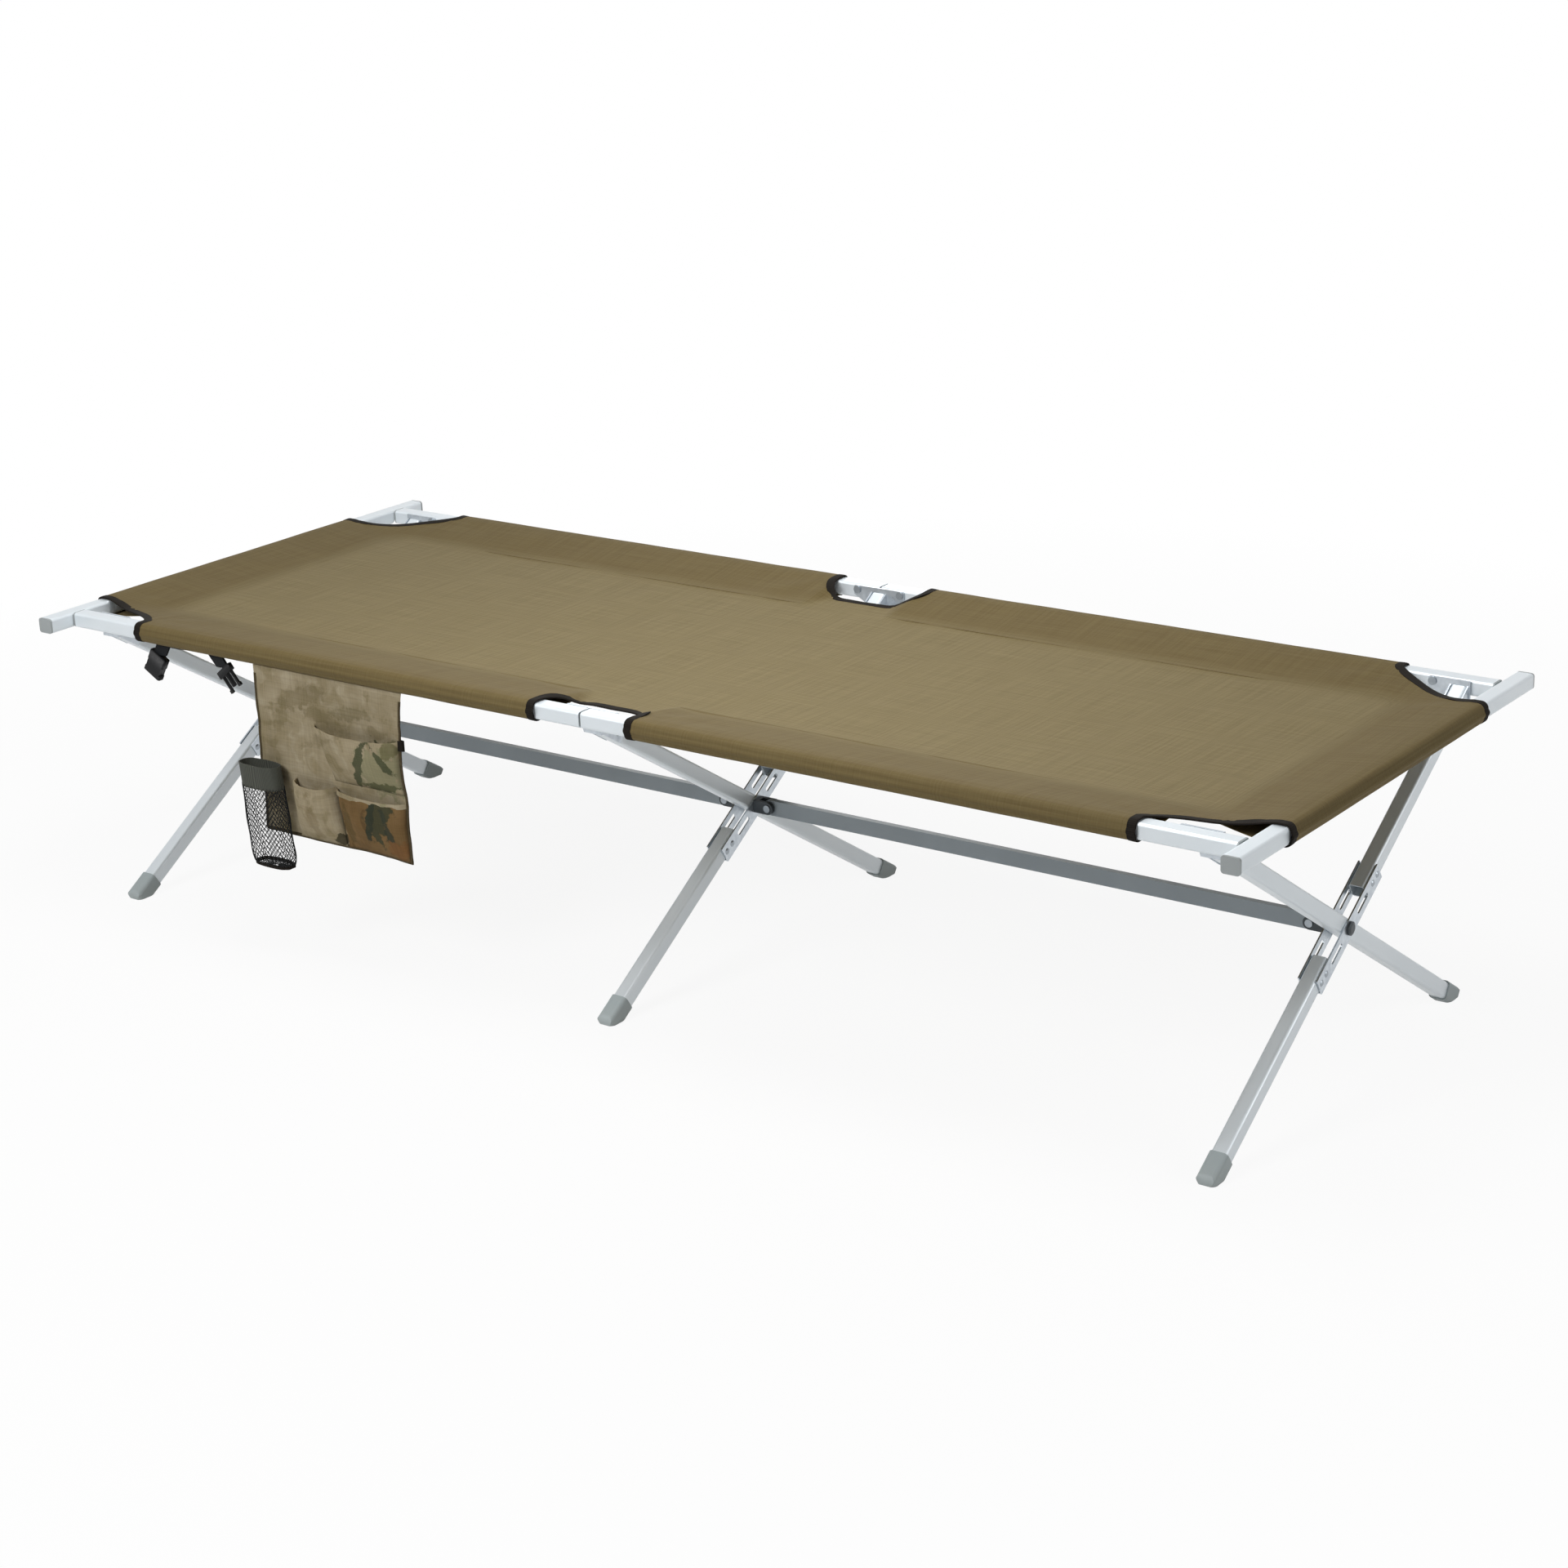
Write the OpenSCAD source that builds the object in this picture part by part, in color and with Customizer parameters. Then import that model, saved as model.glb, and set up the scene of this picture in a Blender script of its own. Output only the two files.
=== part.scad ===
// Folding camp cot: aluminium tube frame on three crossed leg sets, with a
// stretched cloth bed, two end bars, two braces and a hanging pocket.
// X runs along the cot, Y across it, Z up. The floor is z = 0 and the origin
// lies on the floor under the middle of the bed. The near side is -Y.

/* [Overall size] */
// Length over the two end bars
cot_length = 1900; // [1500:10:2300]
// Length of an end bar without its caps, across the cot
bar_length = 770; // [600:2:900]
// Distance between the centre lines of the two side rails
rail_spacing = 668; // [500:2:780]
// Height of the rails' top face above the floor
cot_height = 430; // [350:5:520]
// Distance between the two feet of a leg set, along their legs' middle lines
foot_spread = 646; // [560:2:740]
// Distance from the cot's end to the middle of its end leg set
set_inset = 70; // [60:1:140]

/* [Tubes] */
// Width of a rail tube, across the cot
rail_w = 24; // [20:1:32]
// Height of a rail tube and of an end bar
rail_h = 21; // [19:1:34]
// Width of an end bar, along the cot
bar_w = 24; // [20:1:34]
// Width of a leg tube, in the plane in which the legs cross
leg_w = 22; // [18:1:32]
// Thickness of a leg tube, along the cot
leg_t = 21; // [16:1:26]
// Wall of every tube
wall = 1.6; // [1:0.1:2.4]
// Outer corner radius of every tube
corner_r = 4; // [2.6:0.1:6]
// Height of a brace
brace_h = 21; // [18:1:34]
// Thickness of a brace, across the cot
brace_t = 9; // [7:1:18]

/* [Joints] */
// Offset of the rail and brace pins from the middle of their leg set
pin_offset = 36; // [32:1:46]
// Depth of the rail pins below the rails' top face
pin_drop = 7; // [6:0.5:9]
// Radius of the rail and brace pins
pin_r = 3; // [2:0.5:4]
// Radius of the bolt on which a leg set crosses
bolt_r = 4; // [3:0.5:6]
// Radius of the studs that carry the end bars
stud_r = 5; // [4:0.5:7]
// Length of each half of a leg that the steel channel's web lies along
channel_hold = 27; // [24:1:60]
// Thickness of the steel sheet of channels and brackets
sheet = 2; // [1.5:0.1:3]
// Thickness of the upright plate of a head bracket
plate_t = 3; // [2:0.5:5]

/* [Feet] */
// Length of leg that a foot cap covers, measured from the tube's end
foot_grip = 12; // [6:1:30]
// Wall of a foot cap around its leg
foot_wall = 2; // [1.5:0.1:4]

/* [Cloth] */
// Thickness of the bed cloth's solid
cloth_t = 2; // [1:0.1:3]
// Distance from the middle to the edge of the notch that bares the rail joint
mid_notch = 74; // [60:1:120]
// Depth of the middle notch, measured inwards from the rail's centre line
mid_notch_depth = 54; // [40:1:100]
// Length of rail that is bare at each corner, measured from the cot's end
corner_notch = 152; // [130:1:200]
// Half the length of the sleeve on an end bar
bar_sleeve = 258; // [180:2:280]

/* [Pocket] */
// Distance from the middle of the cot to the pocket panel's centre
pocket_x = 442; // [300:1:600]
// Width of the pocket panel
pocket_w = 270; // [220:1:320]
// Height of the pocket panel
pocket_h = 243; // [200:1:280]
// Thickness of the pocket cloth
pocket_t = 3; // [2:0.5:4]

/* [Straps] */
// Distance from the middle of the cot to the strap with the buckle socket
strap_socket_x = 757; // [720:1:780]
// Distance from the middle of the cot to the strap with the buckle plug
strap_plug_x = 658; // [620:1:700]
// Width of a strap
strap_w = 25; // [20:1:30]
// Length of a strap between its hem and its buckle
strap_l = 16; // [10:1:30]

/* [Hidden] */
$fn = 48;
running = 0.05;         // radial clearance of pins that turn in bores
slip = 0.1;             // clearance of a plug or socket on its tube
side_gap = 0.4;         // clearance of a leg between channel walls
soft_gap = 0.3;         // clearance between cloth and frame
plate_gap = 0.6;        // between a head bracket's plate and its rail
joint_gap = 3;          // between the two halves of a rail
bar_gap = 1;            // between a rail's end and the end bar
flange_t = 2;           // end flange of a rail plug
cap_t = 3;              // end flange of a bar cap
open_clearance = 0.4;   // radial clearance at the outer brace pin
rivet_r = 2.5;          // shank of a rivet
rivet_head = 4.5;       // radius of a rivet's head
rivet_head_t = 1.2;     // thickness of a rivet's head
stud_clearance = 0.8;   // around the far stud in the bar's notch
notch_flare = 38;       // angle of the notch flank that the stud passes
folded_angle = 25.4;    // left between the legs of a set when folded
leg_clear = 6;          // from a folded leg to the leg halves beside it
big = 4000;

rail_y = rail_spacing / 2;
rail_z = cot_height - rail_h / 2;
bar_x = cot_length / 2 - bar_w / 2;
rail_end = cot_length / 2 - bar_w - bar_gap - flange_t;
set_x = cot_length / 2 - set_inset;
pin_z = cot_height - pin_drop;
corner_x = cot_length / 2 - corner_notch;
cross_height = rail_z * foot_spread / (foot_spread + rail_spacing);
leg_e = atan2(rail_z - cross_height, rail_y);
tube_gap = leg_w / 2 / tan(folded_angle / 2) + leg_clear;
web_start = tube_gap + 10;
channel_half = web_start + channel_hold;
plate_out = rail_y - rail_w / 2 - plate_gap;
plate_in = plate_out - plate_t;
head_t = plate_in / cos(leg_e);
foot_t = cross_height / sin(leg_e);
tube_foot = (cross_height - leg_w / 2 * cos(leg_e) - 4) / sin(leg_e);
foot_end = foot_t + 6;
foot_length = foot_end - tube_foot + foot_grip;
cheek_in = leg_t / 2 + slip * 2;
chan_in = leg_t / 2 + side_gap;
chan_out = chan_in + sheet;
fork_x = chan_out + side_gap;
fork_base = 6;
fork_h = brace_h - 4;
fork_w = brace_t + 12;
sleeve_z = cot_height - rail_h - soft_gap - cloth_t;
hem_r = 2.2;
hem_z = sleeve_z - soft_gap - hem_r;
strap_y = -rail_y;
pocket_y = -rail_y - rail_w / 2 + corner_r;

ALU = "#c9ccd0";
STEEL = "#b4b7bb";
GREY = "#9a9da0";
DARK = "#5d6064";
CLOTH = "#83785e";
POCKET = "#8f7d5b";
MESH = "#3a3a38";
BLACK = "#1c1c1e";

ENDS = [-1, 1];
SIDES = [-1, 1];

// ---- shared shapes ----------------------------------------------------

module rounded_rect(w, h, r)
{
    square([w - 2 * r, h], center = true);
    square([w, h - 2 * r], center = true);
    for (x = [-1, 1], y = [-1, 1])
        translate([x * (w / 2 - r), y * (h / 2 - r)]) circle(r);
}

module tube_section(w, h)
{
    difference() {
        rounded_rect(w, h, corner_r);
        rounded_rect(w - 2 * wall, h - 2 * wall, corner_r - wall);
    }
}

// Extrudes a (y, z) outline along +X from the given x.
module along_x(x, length)
    translate([x, 0, 0]) rotate([90, 0, 90]) linear_extrude(length) children();

// Places children in a leg's own frame: local x runs from the crossing to
// the leg's head, local y is square to it in the plane of the crossing, and
// local z runs along the cot. Legs headed for the near rail are mirrored.
module leg_frame(side, set)
    translate([set * set_x, 0, cross_height]) {
        if (side < 0)
            mirror([0, 1, 0]) rotate([leg_e, 0, 0]) rotate([90, 0, 90]) children();
        else
            rotate([leg_e, 0, 0]) rotate([90, 0, 90]) children();
    }

module leg_tube(from, to)
    translate([from, 0, 0]) rotate([0, 90, 0])
        linear_extrude(to - from) tube_section(leg_t, leg_w);

// A cylinder along the cot, centred on its leg, in the leg's frame.
module cross_hole(t, r)
    translate([t, 0, -leg_t * 2]) cylinder(r = r, h = leg_t * 4);

// Cuts away what lies beyond the inner face of a head bracket's plate.
module head_cut(side, y)
    translate([-big / 2, side > 0 ? y : -y - big, -big / 2]) cube(big);

function head_rivets() = [head_t - 38, head_t - 20];
function channel_rivets() = [web_start + 6, channel_half - 7];

// ---- legs -------------------------------------------------------------

// Leg whose head carries the near rail; it is one tube, and the other leg's
// channel straddles it.
module near_leg(set)
{
    color(ALU) difference() {
        leg_frame(-1, set) difference() {
            leg_tube(-tube_foot, head_t + leg_w);
            cross_hole(0, bolt_r + running);
            for (t = head_rivets()) cross_hole(t, rivet_r + running);
        }
        head_cut(-1, plate_in - side_gap);
    }
}

// Leg whose head carries the far rail: two tubes, joined by the channel.
module far_leg(set)
{
    color(ALU) difference() {
        leg_frame(1, set) difference() {
            union() {
                leg_tube(tube_gap, head_t + leg_w);
                leg_tube(-tube_foot, -tube_gap);
            }
            for (t = concat(head_rivets(), channel_rivets(), -channel_rivets()))
                cross_hole(t, rivet_r + running);
        }
        head_cut(1, plate_in - side_gap);
    }
}

module slot(t, length, width)
{
    translate([t, 0]) square([length - width, width], center = true);
    for (d = [-1, 1]) translate([t + d * (length - width) / 2, 0]) circle(width / 2);
}

// Steel channel of the far leg: two side walls with slots, and a web under
// each tube, open in the middle where the near leg passes.
module leg_channel(set)
{
    web_y = leg_w / 2 + 0.2;
    color(STEEL) leg_frame(1, set) {
        for (d = [-1, 1])
            translate([0, 0, d > 0 ? chan_in : -chan_out]) linear_extrude(sheet)
                difference() {
                    translate([0, -sheet / 2]) square([2 * channel_half, 2 * web_y + sheet],
                        center = true);
                    circle(bolt_r + running);
                    for (s = [-1, 1]) slot(s * (tube_gap + 24) / 2, tube_gap - 24, 7);
                    for (t = concat(channel_rivets(), -channel_rivets()))
                        translate([t, 0]) circle(rivet_r + running);
                }
        for (s = [-1, 1])
            translate([s > 0 ? web_start : -channel_half, -web_y - sheet, -chan_out])
                cube([channel_half - web_start, sheet, 2 * chan_out]);
    }
}

// Bolt on which a leg set crosses. It has a fork for each brace that meets
// the set, and a domed head where there is none.
module crossing_bolt(set)
{
    color(DARK) translate([set * set_x, 0, cross_height]) {
        translate([-fork_x, 0, 0]) rotate([0, 90, 0]) cylinder(r = bolt_r, h = 2 * fork_x);
        for (d = [-1, 1])
            if (set == 0 || d == -set) brace_fork(d);
            else translate([d * fork_x, 0, 0]) rotate([0, d * 90, 0]) bolt_head();
    }
}

module bolt_head()
{
    cylinder(r = bolt_r * 2.2, h = 2.5);
    translate([0, 0, 2.5]) cylinder(r1 = bolt_r * 2.2, r2 = bolt_r * 1.4, h = 1.5);
}

// Fork that points along the cot in direction d, with a slot for the brace.
module brace_fork(d)
{
    slot_x = fork_x + fork_base;
    difference() {
        rotate([90, 0, 0]) translate([0, 0, -fork_w / 2]) linear_extrude(fork_w) {
            translate([d > 0 ? fork_x : -pin_offset, -fork_h / 2])
                square([pin_offset - fork_x, fork_h]);
            translate([d * pin_offset, 0]) circle(fork_h / 2);
        }
        translate([d > 0 ? slot_x : -slot_x - big, -brace_t / 2 - slip * 4, -big / 2])
            cube([big, brace_t + slip * 8, big]);
        translate([d * pin_offset, 0, 0]) rotate([90, 0, 0])
            cylinder(r = pin_r + running, h = fork_w * 2, center = true);
    }
}

// Cap on a leg's lower end, rounded outside and cut flat where it stands.
module foot(side, set)
{
    outer_w = leg_w + 2 * foot_wall;
    outer_t = leg_t + 2 * foot_wall;
    color(GREY) difference() {
        leg_frame(side, set) difference() {
            intersection() {
                translate([-foot_end, 0, 0]) rotate([0, 90, 0])
                    linear_extrude(foot_length) rounded_rect(outer_t, outer_w, 6);
                translate([-foot_end + foot_length / 2 + 8, 0, -outer_t]) linear_extrude(2 * outer_t)
                    rounded_rect(foot_length + 16, outer_w, 11);
                translate([-foot_end + foot_length / 2 + 8, 0, 0]) rotate([90, 0, 0])
                    translate([0, 0, -outer_w]) linear_extrude(2 * outer_w)
                    rounded_rect(foot_length + 16, outer_t, 7);
            }
            translate([-tube_foot, 0, 0]) rotate([0, 90, 0]) linear_extrude(foot_length * 2)
                rounded_rect(leg_t + 2 * slip, leg_w + 2 * slip, corner_r);
        }
        translate([-big / 2, -big / 2, -big]) cube(big);
    }
}

// ---- head brackets ----------------------------------------------------

// Upright plate beside a rail, with an arm out to each rail pin, and two
// cheeks that hold the leg's head.
module head_bracket(side, set)
{
    dirs = set == 0 ? [-1, 1] : [-set];
    top = cot_height - 1;
    foot_z = rail_z - rail_h - 3;
    post = leg_t / 2 + 4;
    color(STEEL) difference() {
        union() {
            translate([set * set_x, side * (plate_in + plate_t / 2), 0]) rotate([90, 0, 0])
                translate([0, 0, -plate_t / 2]) linear_extrude(plate_t) {
                    translate([-post, foot_z]) square([2 * post, top - foot_z]);
                    for (d = dirs) polygon([
                        [0, top], [d * (pin_offset + 4), top], [d * (pin_offset + 6), top - 2],
                        [d * (pin_offset + 6), pin_z - 7], [d * (post + 2), foot_z + 6],
                        [d * post, foot_z], [0, foot_z]]);
                }
            difference() {
                leg_frame(side, set) for (d = [-1, 1])
                    translate([head_t - 50, -leg_w / 2, d > 0 ? cheek_in : -cheek_in - sheet])
                        cube([50 + leg_w, leg_w, sheet]);
                head_cut(side, plate_in + plate_t / 2);
            }
        }
        for (d = dirs)
            translate([set * set_x + d * pin_offset, side * plate_in, pin_z]) rotate([90, 0, 0])
                cylinder(r = pin_r + running, h = plate_t * 4, center = true);
        leg_frame(side, set) for (t = head_rivets()) cross_hole(t, rivet_r + running);
    }
}

// A rivet across a leg, with a head on each side.
module leg_rivet(t, half)
    translate([t, 0, 0]) {
        translate([0, 0, -half]) cylinder(r = rivet_r, h = 2 * half);
        translate([0, 0, half]) cylinder(r1 = rivet_head, r2 = rivet_head * 0.6, h = rivet_head_t);
        translate([0, 0, -half - rivet_head_t])
            cylinder(r1 = rivet_head * 0.6, r2 = rivet_head, h = rivet_head_t);
    }

// Pin on which a brace turns in its fork, pointing across the cot.
module brace_pin(x)
    translate([x, 0, cross_height]) rotate([90, 0, 0]) {
        cylinder(r = pin_r, h = fork_w, center = true);
        for (d = [0, 180]) rotate([d, 0, 0]) translate([0, 0, fork_w / 2])
            cylinder(r = pin_r * 1.7, h = 1.5);
    }

// Rivets of the near leg's head, and the pins of the braces at its crossing.
module rivets_near(set)
{
    color(STEEL) {
        leg_frame(-1, set) for (t = head_rivets()) leg_rivet(t, cheek_in + sheet);
        if (set == 0) for (d = ENDS) brace_pin(d * pin_offset);
        else brace_pin(set * (set_x - pin_offset));
    }
}

// Rivets of the far leg's head and of its channel.
module rivets_far(set)
{
    color(STEEL) leg_frame(1, set) {
        for (t = head_rivets()) leg_rivet(t, cheek_in + sheet);
        for (t = concat(channel_rivets(), -channel_rivets())) leg_rivet(t, chan_out);
    }
}

// ---- rails ------------------------------------------------------------

// Places of the two rail pins of a rail half, measured from the middle.
function rail_pin_x() = [pin_offset, set_x - pin_offset];

// Bores from a rail's inboard face, to the given depth.
module rail_bores(side, end, depth)
    for (x = rail_pin_x())
        translate([end * x, side * (rail_y - rail_w / 2 + depth), pin_z])
            rotate([side * 90, 0, 0]) cylinder(r = pin_r + running, h = depth + 2);

module rail(side, end)
{
    from = end > 0 ? joint_gap / 2 : -rail_end;
    color(ALU) difference() {
        translate([0, side * rail_y, rail_z]) along_x(from, rail_end - joint_gap / 2)
            tube_section(rail_w, rail_h);
        rail_bores(side, end, wall * 2);
    }
}

module plug_block(from, to, side)
    translate([0, side * rail_y, rail_z]) along_x(min(from, to), abs(to - from))
        rounded_rect(rail_w - 2 * wall - 2 * slip, rail_h - 2 * wall - 2 * slip,
            corner_r - wall);

// Plugs inside the two ends of a rail half. They hold the rail pins, and the
// outer one has a flange and the stud for the end bar.
module rail_plugs(side, end)
{
    stud_end = cot_length / 2 - wall - 1.5;
    color(GREY) {
        difference() {
            union() {
                plug_block(end * joint_gap / 2, end * (pin_offset + 22), side);
                plug_block(end * (set_x - pin_offset - 22), end * rail_end, side);
                translate([0, side * rail_y, rail_z])
                    along_x(end > 0 ? rail_end : -rail_end - flange_t, flange_t)
                    rounded_rect(rail_w, rail_h, corner_r);
            }
            rail_bores(side, end, rail_w - 3 * wall);
        }
        translate([end * rail_end, side * rail_y, rail_z]) rotate([0, end * 90, 0])
            cylinder(r = stud_r, h = stud_end - rail_end);
    }
}

// Pins of a rail half, headed inboard of the brackets.
module rail_pins(side, end)
{
    length = rail_w - 3 * wall - 1 + rail_y - rail_w / 2 - plate_in;
    color(STEEL) for (x = rail_pin_x())
        translate([end * x, side * (plate_in + length), pin_z]) rotate([side * 90, 0, 0]) {
            cylinder(r = pin_r, h = length + slip * 2);
            translate([0, 0, length + slip * 2]) cylinder(r = pin_r * 1.8, h = 2);
        }
}

// ---- braces -----------------------------------------------------------

// Bar from crossing to crossing: solid at its pinned ends, an upturned
// channel between them.
module brace(end)
{
    from = pin_offset;
    to = set_x - pin_offset;
    color(DARK) translate([0, 0, cross_height]) difference() {
        rotate([90, 0, 0]) translate([0, 0, -brace_t / 2]) linear_extrude(brace_t) {
            translate([end > 0 ? from : -to, -brace_h / 2]) square([to - from, brace_h]);
            for (x = [from, to]) translate([end * x, 0]) circle(brace_h / 2);
        }
        translate([end > 0 ? from + 26 : -to + 26, -brace_t / 2 + wall, -brace_h])
            cube([to - from - 52, brace_t - 2 * wall, brace_h * 1.5 - wall]);
        translate([end * from, 0, 0]) rotate([90, 0, 0])
            cylinder(r = pin_r + running, h = 4 * brace_t, center = true);
        translate([end * to, 0, 0]) rotate([90, 0, 0])
            cylinder(r = pin_r + open_clearance, h = 4 * brace_t, center = true);
    }
}

// ---- end bars ---------------------------------------------------------

// Bar across a cot end. Its near hole turns on the near stud, and its far
// notch opens downwards over the far stud, flared where the stud leaves.
module end_bar(end)
{
    inboard = cot_length / 2 - bar_w;
    cut_end = cot_length / 2 - wall - 0.4;
    reach = stud_r + stud_clearance;
    drop = rail_h / 2 + 1;
    flank = reach * [-cos(notch_flare), sin(notch_flare)];
    flank_end = flank[0] - (drop + flank[1]) * tan(notch_flare);
    color(ALU) difference() {
        translate([end * bar_x, -bar_length / 2, rail_z]) rotate([-90, 0, 0])
            linear_extrude(bar_length) tube_section(bar_w, rail_h);
        translate([end * (inboard - 1), -rail_y, rail_z]) rotate([0, end * 90, 0])
            cylinder(r = stud_r + running, h = wall + 2);
        translate([0, rail_y, rail_z]) along_x(end > 0 ? inboard - 1 : -cut_end,
            cut_end - inboard + 1) {
            circle(reach);
            polygon([[reach, 0], [reach, -drop], [flank_end, -drop], flank, [0, 0]]);
        }
    }
}

module bar_caps(end)
{
    color(GREY) for (s = SIDES)
        translate([end * bar_x, s * bar_length / 2, rail_z]) rotate([-s * 90, 0, 0]) {
            linear_extrude(cap_t) rounded_rect(bar_w, rail_h, corner_r);
            translate([0, 0, -18]) linear_extrude(18.5)
                rounded_rect(bar_w - 2 * wall - 2 * slip, rail_h - 2 * wall - 2 * slip,
                    corner_r - wall);
        }
}

// ---- bed cloth --------------------------------------------------------

// Section of a cloth sleeve around a tube.
module sleeve_section(w, h)
{
    inner = 2 * soft_gap;
    outer = inner + 2 * cloth_t;
    difference() {
        rounded_rect(w + outer, h + outer, corner_r + soft_gap + cloth_t);
        rounded_rect(w + inner, h + inner, corner_r + soft_gap);
    }
}

// Half of the bed: the sheet on top of the frame, notched at the corner and
// at the rail joint, and its sleeves on the two rails and the end bar.
module bed_cloth(end)
{
    edge = rail_y;
    notch_y = rail_y - mid_notch_depth;
    near_x = soft_gap;
    sheet_points = [
        [near_x, notch_y], [mid_notch - 40, notch_y], [mid_notch - 14, notch_y + 14],
        [mid_notch, edge], [corner_x, edge], [corner_x + 12, edge - 26],
        [bar_x - 20, bar_sleeve + 24], [bar_x, bar_sleeve]];
    outline = [for (p = sheet_points) [end * p[0], p[1]]];
    mirrored = [for (i = [len(outline) - 1:-1:0]) [outline[i][0], -outline[i][1]]];
    color(CLOTH) {
        translate([0, 0, cot_height + soft_gap]) linear_extrude(cloth_t)
            polygon(concat(outline, mirrored));
        for (s = SIDES)
            translate([0, s * rail_y, rail_z])
                along_x(end > 0 ? mid_notch : -corner_x, corner_x - mid_notch)
                sleeve_section(rail_w, rail_h);
        translate([end * bar_x, -bar_sleeve, rail_z]) rotate([-90, 0, 0])
            linear_extrude(2 * bar_sleeve) sleeve_section(bar_w, rail_h);
    }
}

// ---- pocket -----------------------------------------------------------

// Panel that hangs from a rolled hem under the near rail's sleeve.
module pocket_panel()
{
    color(POCKET) {
        translate([-pocket_x - pocket_w / 2, pocket_y, hem_z]) rotate([0, 90, 0])
            cylinder(r = hem_r, h = pocket_w);
        translate([-pocket_x - pocket_w / 2, pocket_y - pocket_t / 2, hem_z - pocket_h])
            cube([pocket_w, pocket_t, pocket_h]);
    }
}

// Pouch on the front of the panel, open at its top. x is its left edge from
// the panel's left edge, and drop is its bottom below the hem.
module pouch(x, width, depth, drop, height, r)
{
    left = -pocket_x - pocket_w / 2 + x;
    front = pocket_y - pocket_t / 2 - soft_gap / 3;
    t = pocket_t - 1;
    translate([left + width / 2, front - depth / 2, hem_z - drop]) difference() {
        linear_extrude(height) rounded_rect(width, depth, r);
        translate([0, 0, t]) linear_extrude(height) rounded_rect(width - 2 * t, depth - 2 * t, r - t);
    }
}

module bottle_pouch()
    color(MESH) pouch(-14, 76, 37, pocket_h + 34, 146, 18);

module middle_pouch()
    color(POCKET) pouch(66, 76, 24, pocket_h - 6, 92, 9);

module wide_pouch()
    color(POCKET) pouch(88, 176, 18, 141, 66, 7);

module lower_pouch()
    color(POCKET) pouch(146, 120, 22, pocket_h - 6, 86, 9);

// ---- straps -----------------------------------------------------------

module strap(x)
    color(BLACK) {
        translate([-x - strap_w / 2, strap_y, hem_z]) rotate([0, 90, 0])
            cylinder(r = hem_r, h = strap_w);
        translate([-x - strap_w / 2, strap_y - 0.8, hem_z - strap_l])
            cube([strap_w, 1.6, strap_l]);
    }

module buckle_socket()
    color(BLACK) translate([-strap_socket_x, strap_y, hem_z - strap_l - 34.1]) difference() {
        linear_extrude(34) rounded_rect(strap_w + 7, 11, 3);
        translate([0, 0, -1]) linear_extrude(27) rounded_rect(strap_w - 1, 6, 1.5);
        for (d = [-1, 1]) translate([d * (strap_w / 2 + 4), 0, 13])
            cube([6, 20, 14], center = true);
    }

module buckle_plug()
    color(BLACK) translate([-strap_plug_x, strap_y, hem_z - strap_l - 0.1]) {
        translate([0, 0, -10]) linear_extrude(10) rounded_rect(strap_w + 5, 8, 2);
        translate([-3, -2, -30]) cube([6, 4, 20]);
        for (d = [-1, 1]) translate([d * (strap_w / 2 - 3) - 1.5, -2, -32]) cube([3, 4, 22]);
        for (d = [-1, 1]) translate([d * (strap_w / 2 - 2) - 2.5, -2, -35]) cube([5, 4, 5]);
    }

// ---- every node -------------------------------------------------------

near_leg(-1);  // near_leg_left
near_leg(0);  // near_leg_centre
near_leg(1);  // near_leg_right
far_leg(-1);  // far_leg_left
far_leg(0);  // far_leg_centre
far_leg(1);  // far_leg_right
leg_channel(-1);  // leg_channel_left
leg_channel(0);  // leg_channel_centre
leg_channel(1);  // leg_channel_right
crossing_bolt(-1);  // crossing_bolt_left
crossing_bolt(0);  // crossing_bolt_centre
crossing_bolt(1);  // crossing_bolt_right
foot(-1, -1);  // near_leg_foot_left
foot(-1, 0);  // near_leg_foot_centre
foot(-1, 1);  // near_leg_foot_right
foot(1, -1);  // far_leg_foot_left
foot(1, 0);  // far_leg_foot_centre
foot(1, 1);  // far_leg_foot_right
head_bracket(-1, -1);  // head_bracket_near_left
head_bracket(-1, 0);  // head_bracket_near_centre
head_bracket(-1, 1);  // head_bracket_near_right
head_bracket(1, -1);  // head_bracket_far_left
head_bracket(1, 0);  // head_bracket_far_centre
head_bracket(1, 1);  // head_bracket_far_right
rivets_near(-1);  // rivets_near_left
rivets_near(0);  // rivets_near_centre
rivets_near(1);  // rivets_near_right
rivets_far(-1);  // rivets_far_left
rivets_far(0);  // rivets_far_centre
rivets_far(1);  // rivets_far_right
rail(-1, -1);  // rail_near_left
rail(-1, 1);  // rail_near_right
rail(1, -1);  // rail_far_left
rail(1, 1);  // rail_far_right
rail_plugs(-1, -1);  // rail_plugs_near_left
rail_plugs(-1, 1);  // rail_plugs_near_right
rail_plugs(1, -1);  // rail_plugs_far_left
rail_plugs(1, 1);  // rail_plugs_far_right
rail_pins(-1, -1);  // rail_pins_near_left
rail_pins(-1, 1);  // rail_pins_near_right
rail_pins(1, -1);  // rail_pins_far_left
rail_pins(1, 1);  // rail_pins_far_right
brace(-1);  // brace_left
brace(1);  // brace_right
end_bar(-1);  // end_bar_left
end_bar(1);  // end_bar_right
bar_caps(-1);  // bar_caps_left
bar_caps(1);  // bar_caps_right
bed_cloth(-1);  // bed_cloth_left
bed_cloth(1);  // bed_cloth_right
pocket_panel();
bottle_pouch();
middle_pouch();
wide_pouch();
lower_pouch();
strap(strap_socket_x);  // strap_socket
buckle_socket();
strap(strap_plug_x);  // strap_plug
buckle_plug();
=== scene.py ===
"""Folding cot: cloth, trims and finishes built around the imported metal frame."""

import math

import bmesh
import bpy
from mathutils import Matrix, Vector, noise


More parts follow.
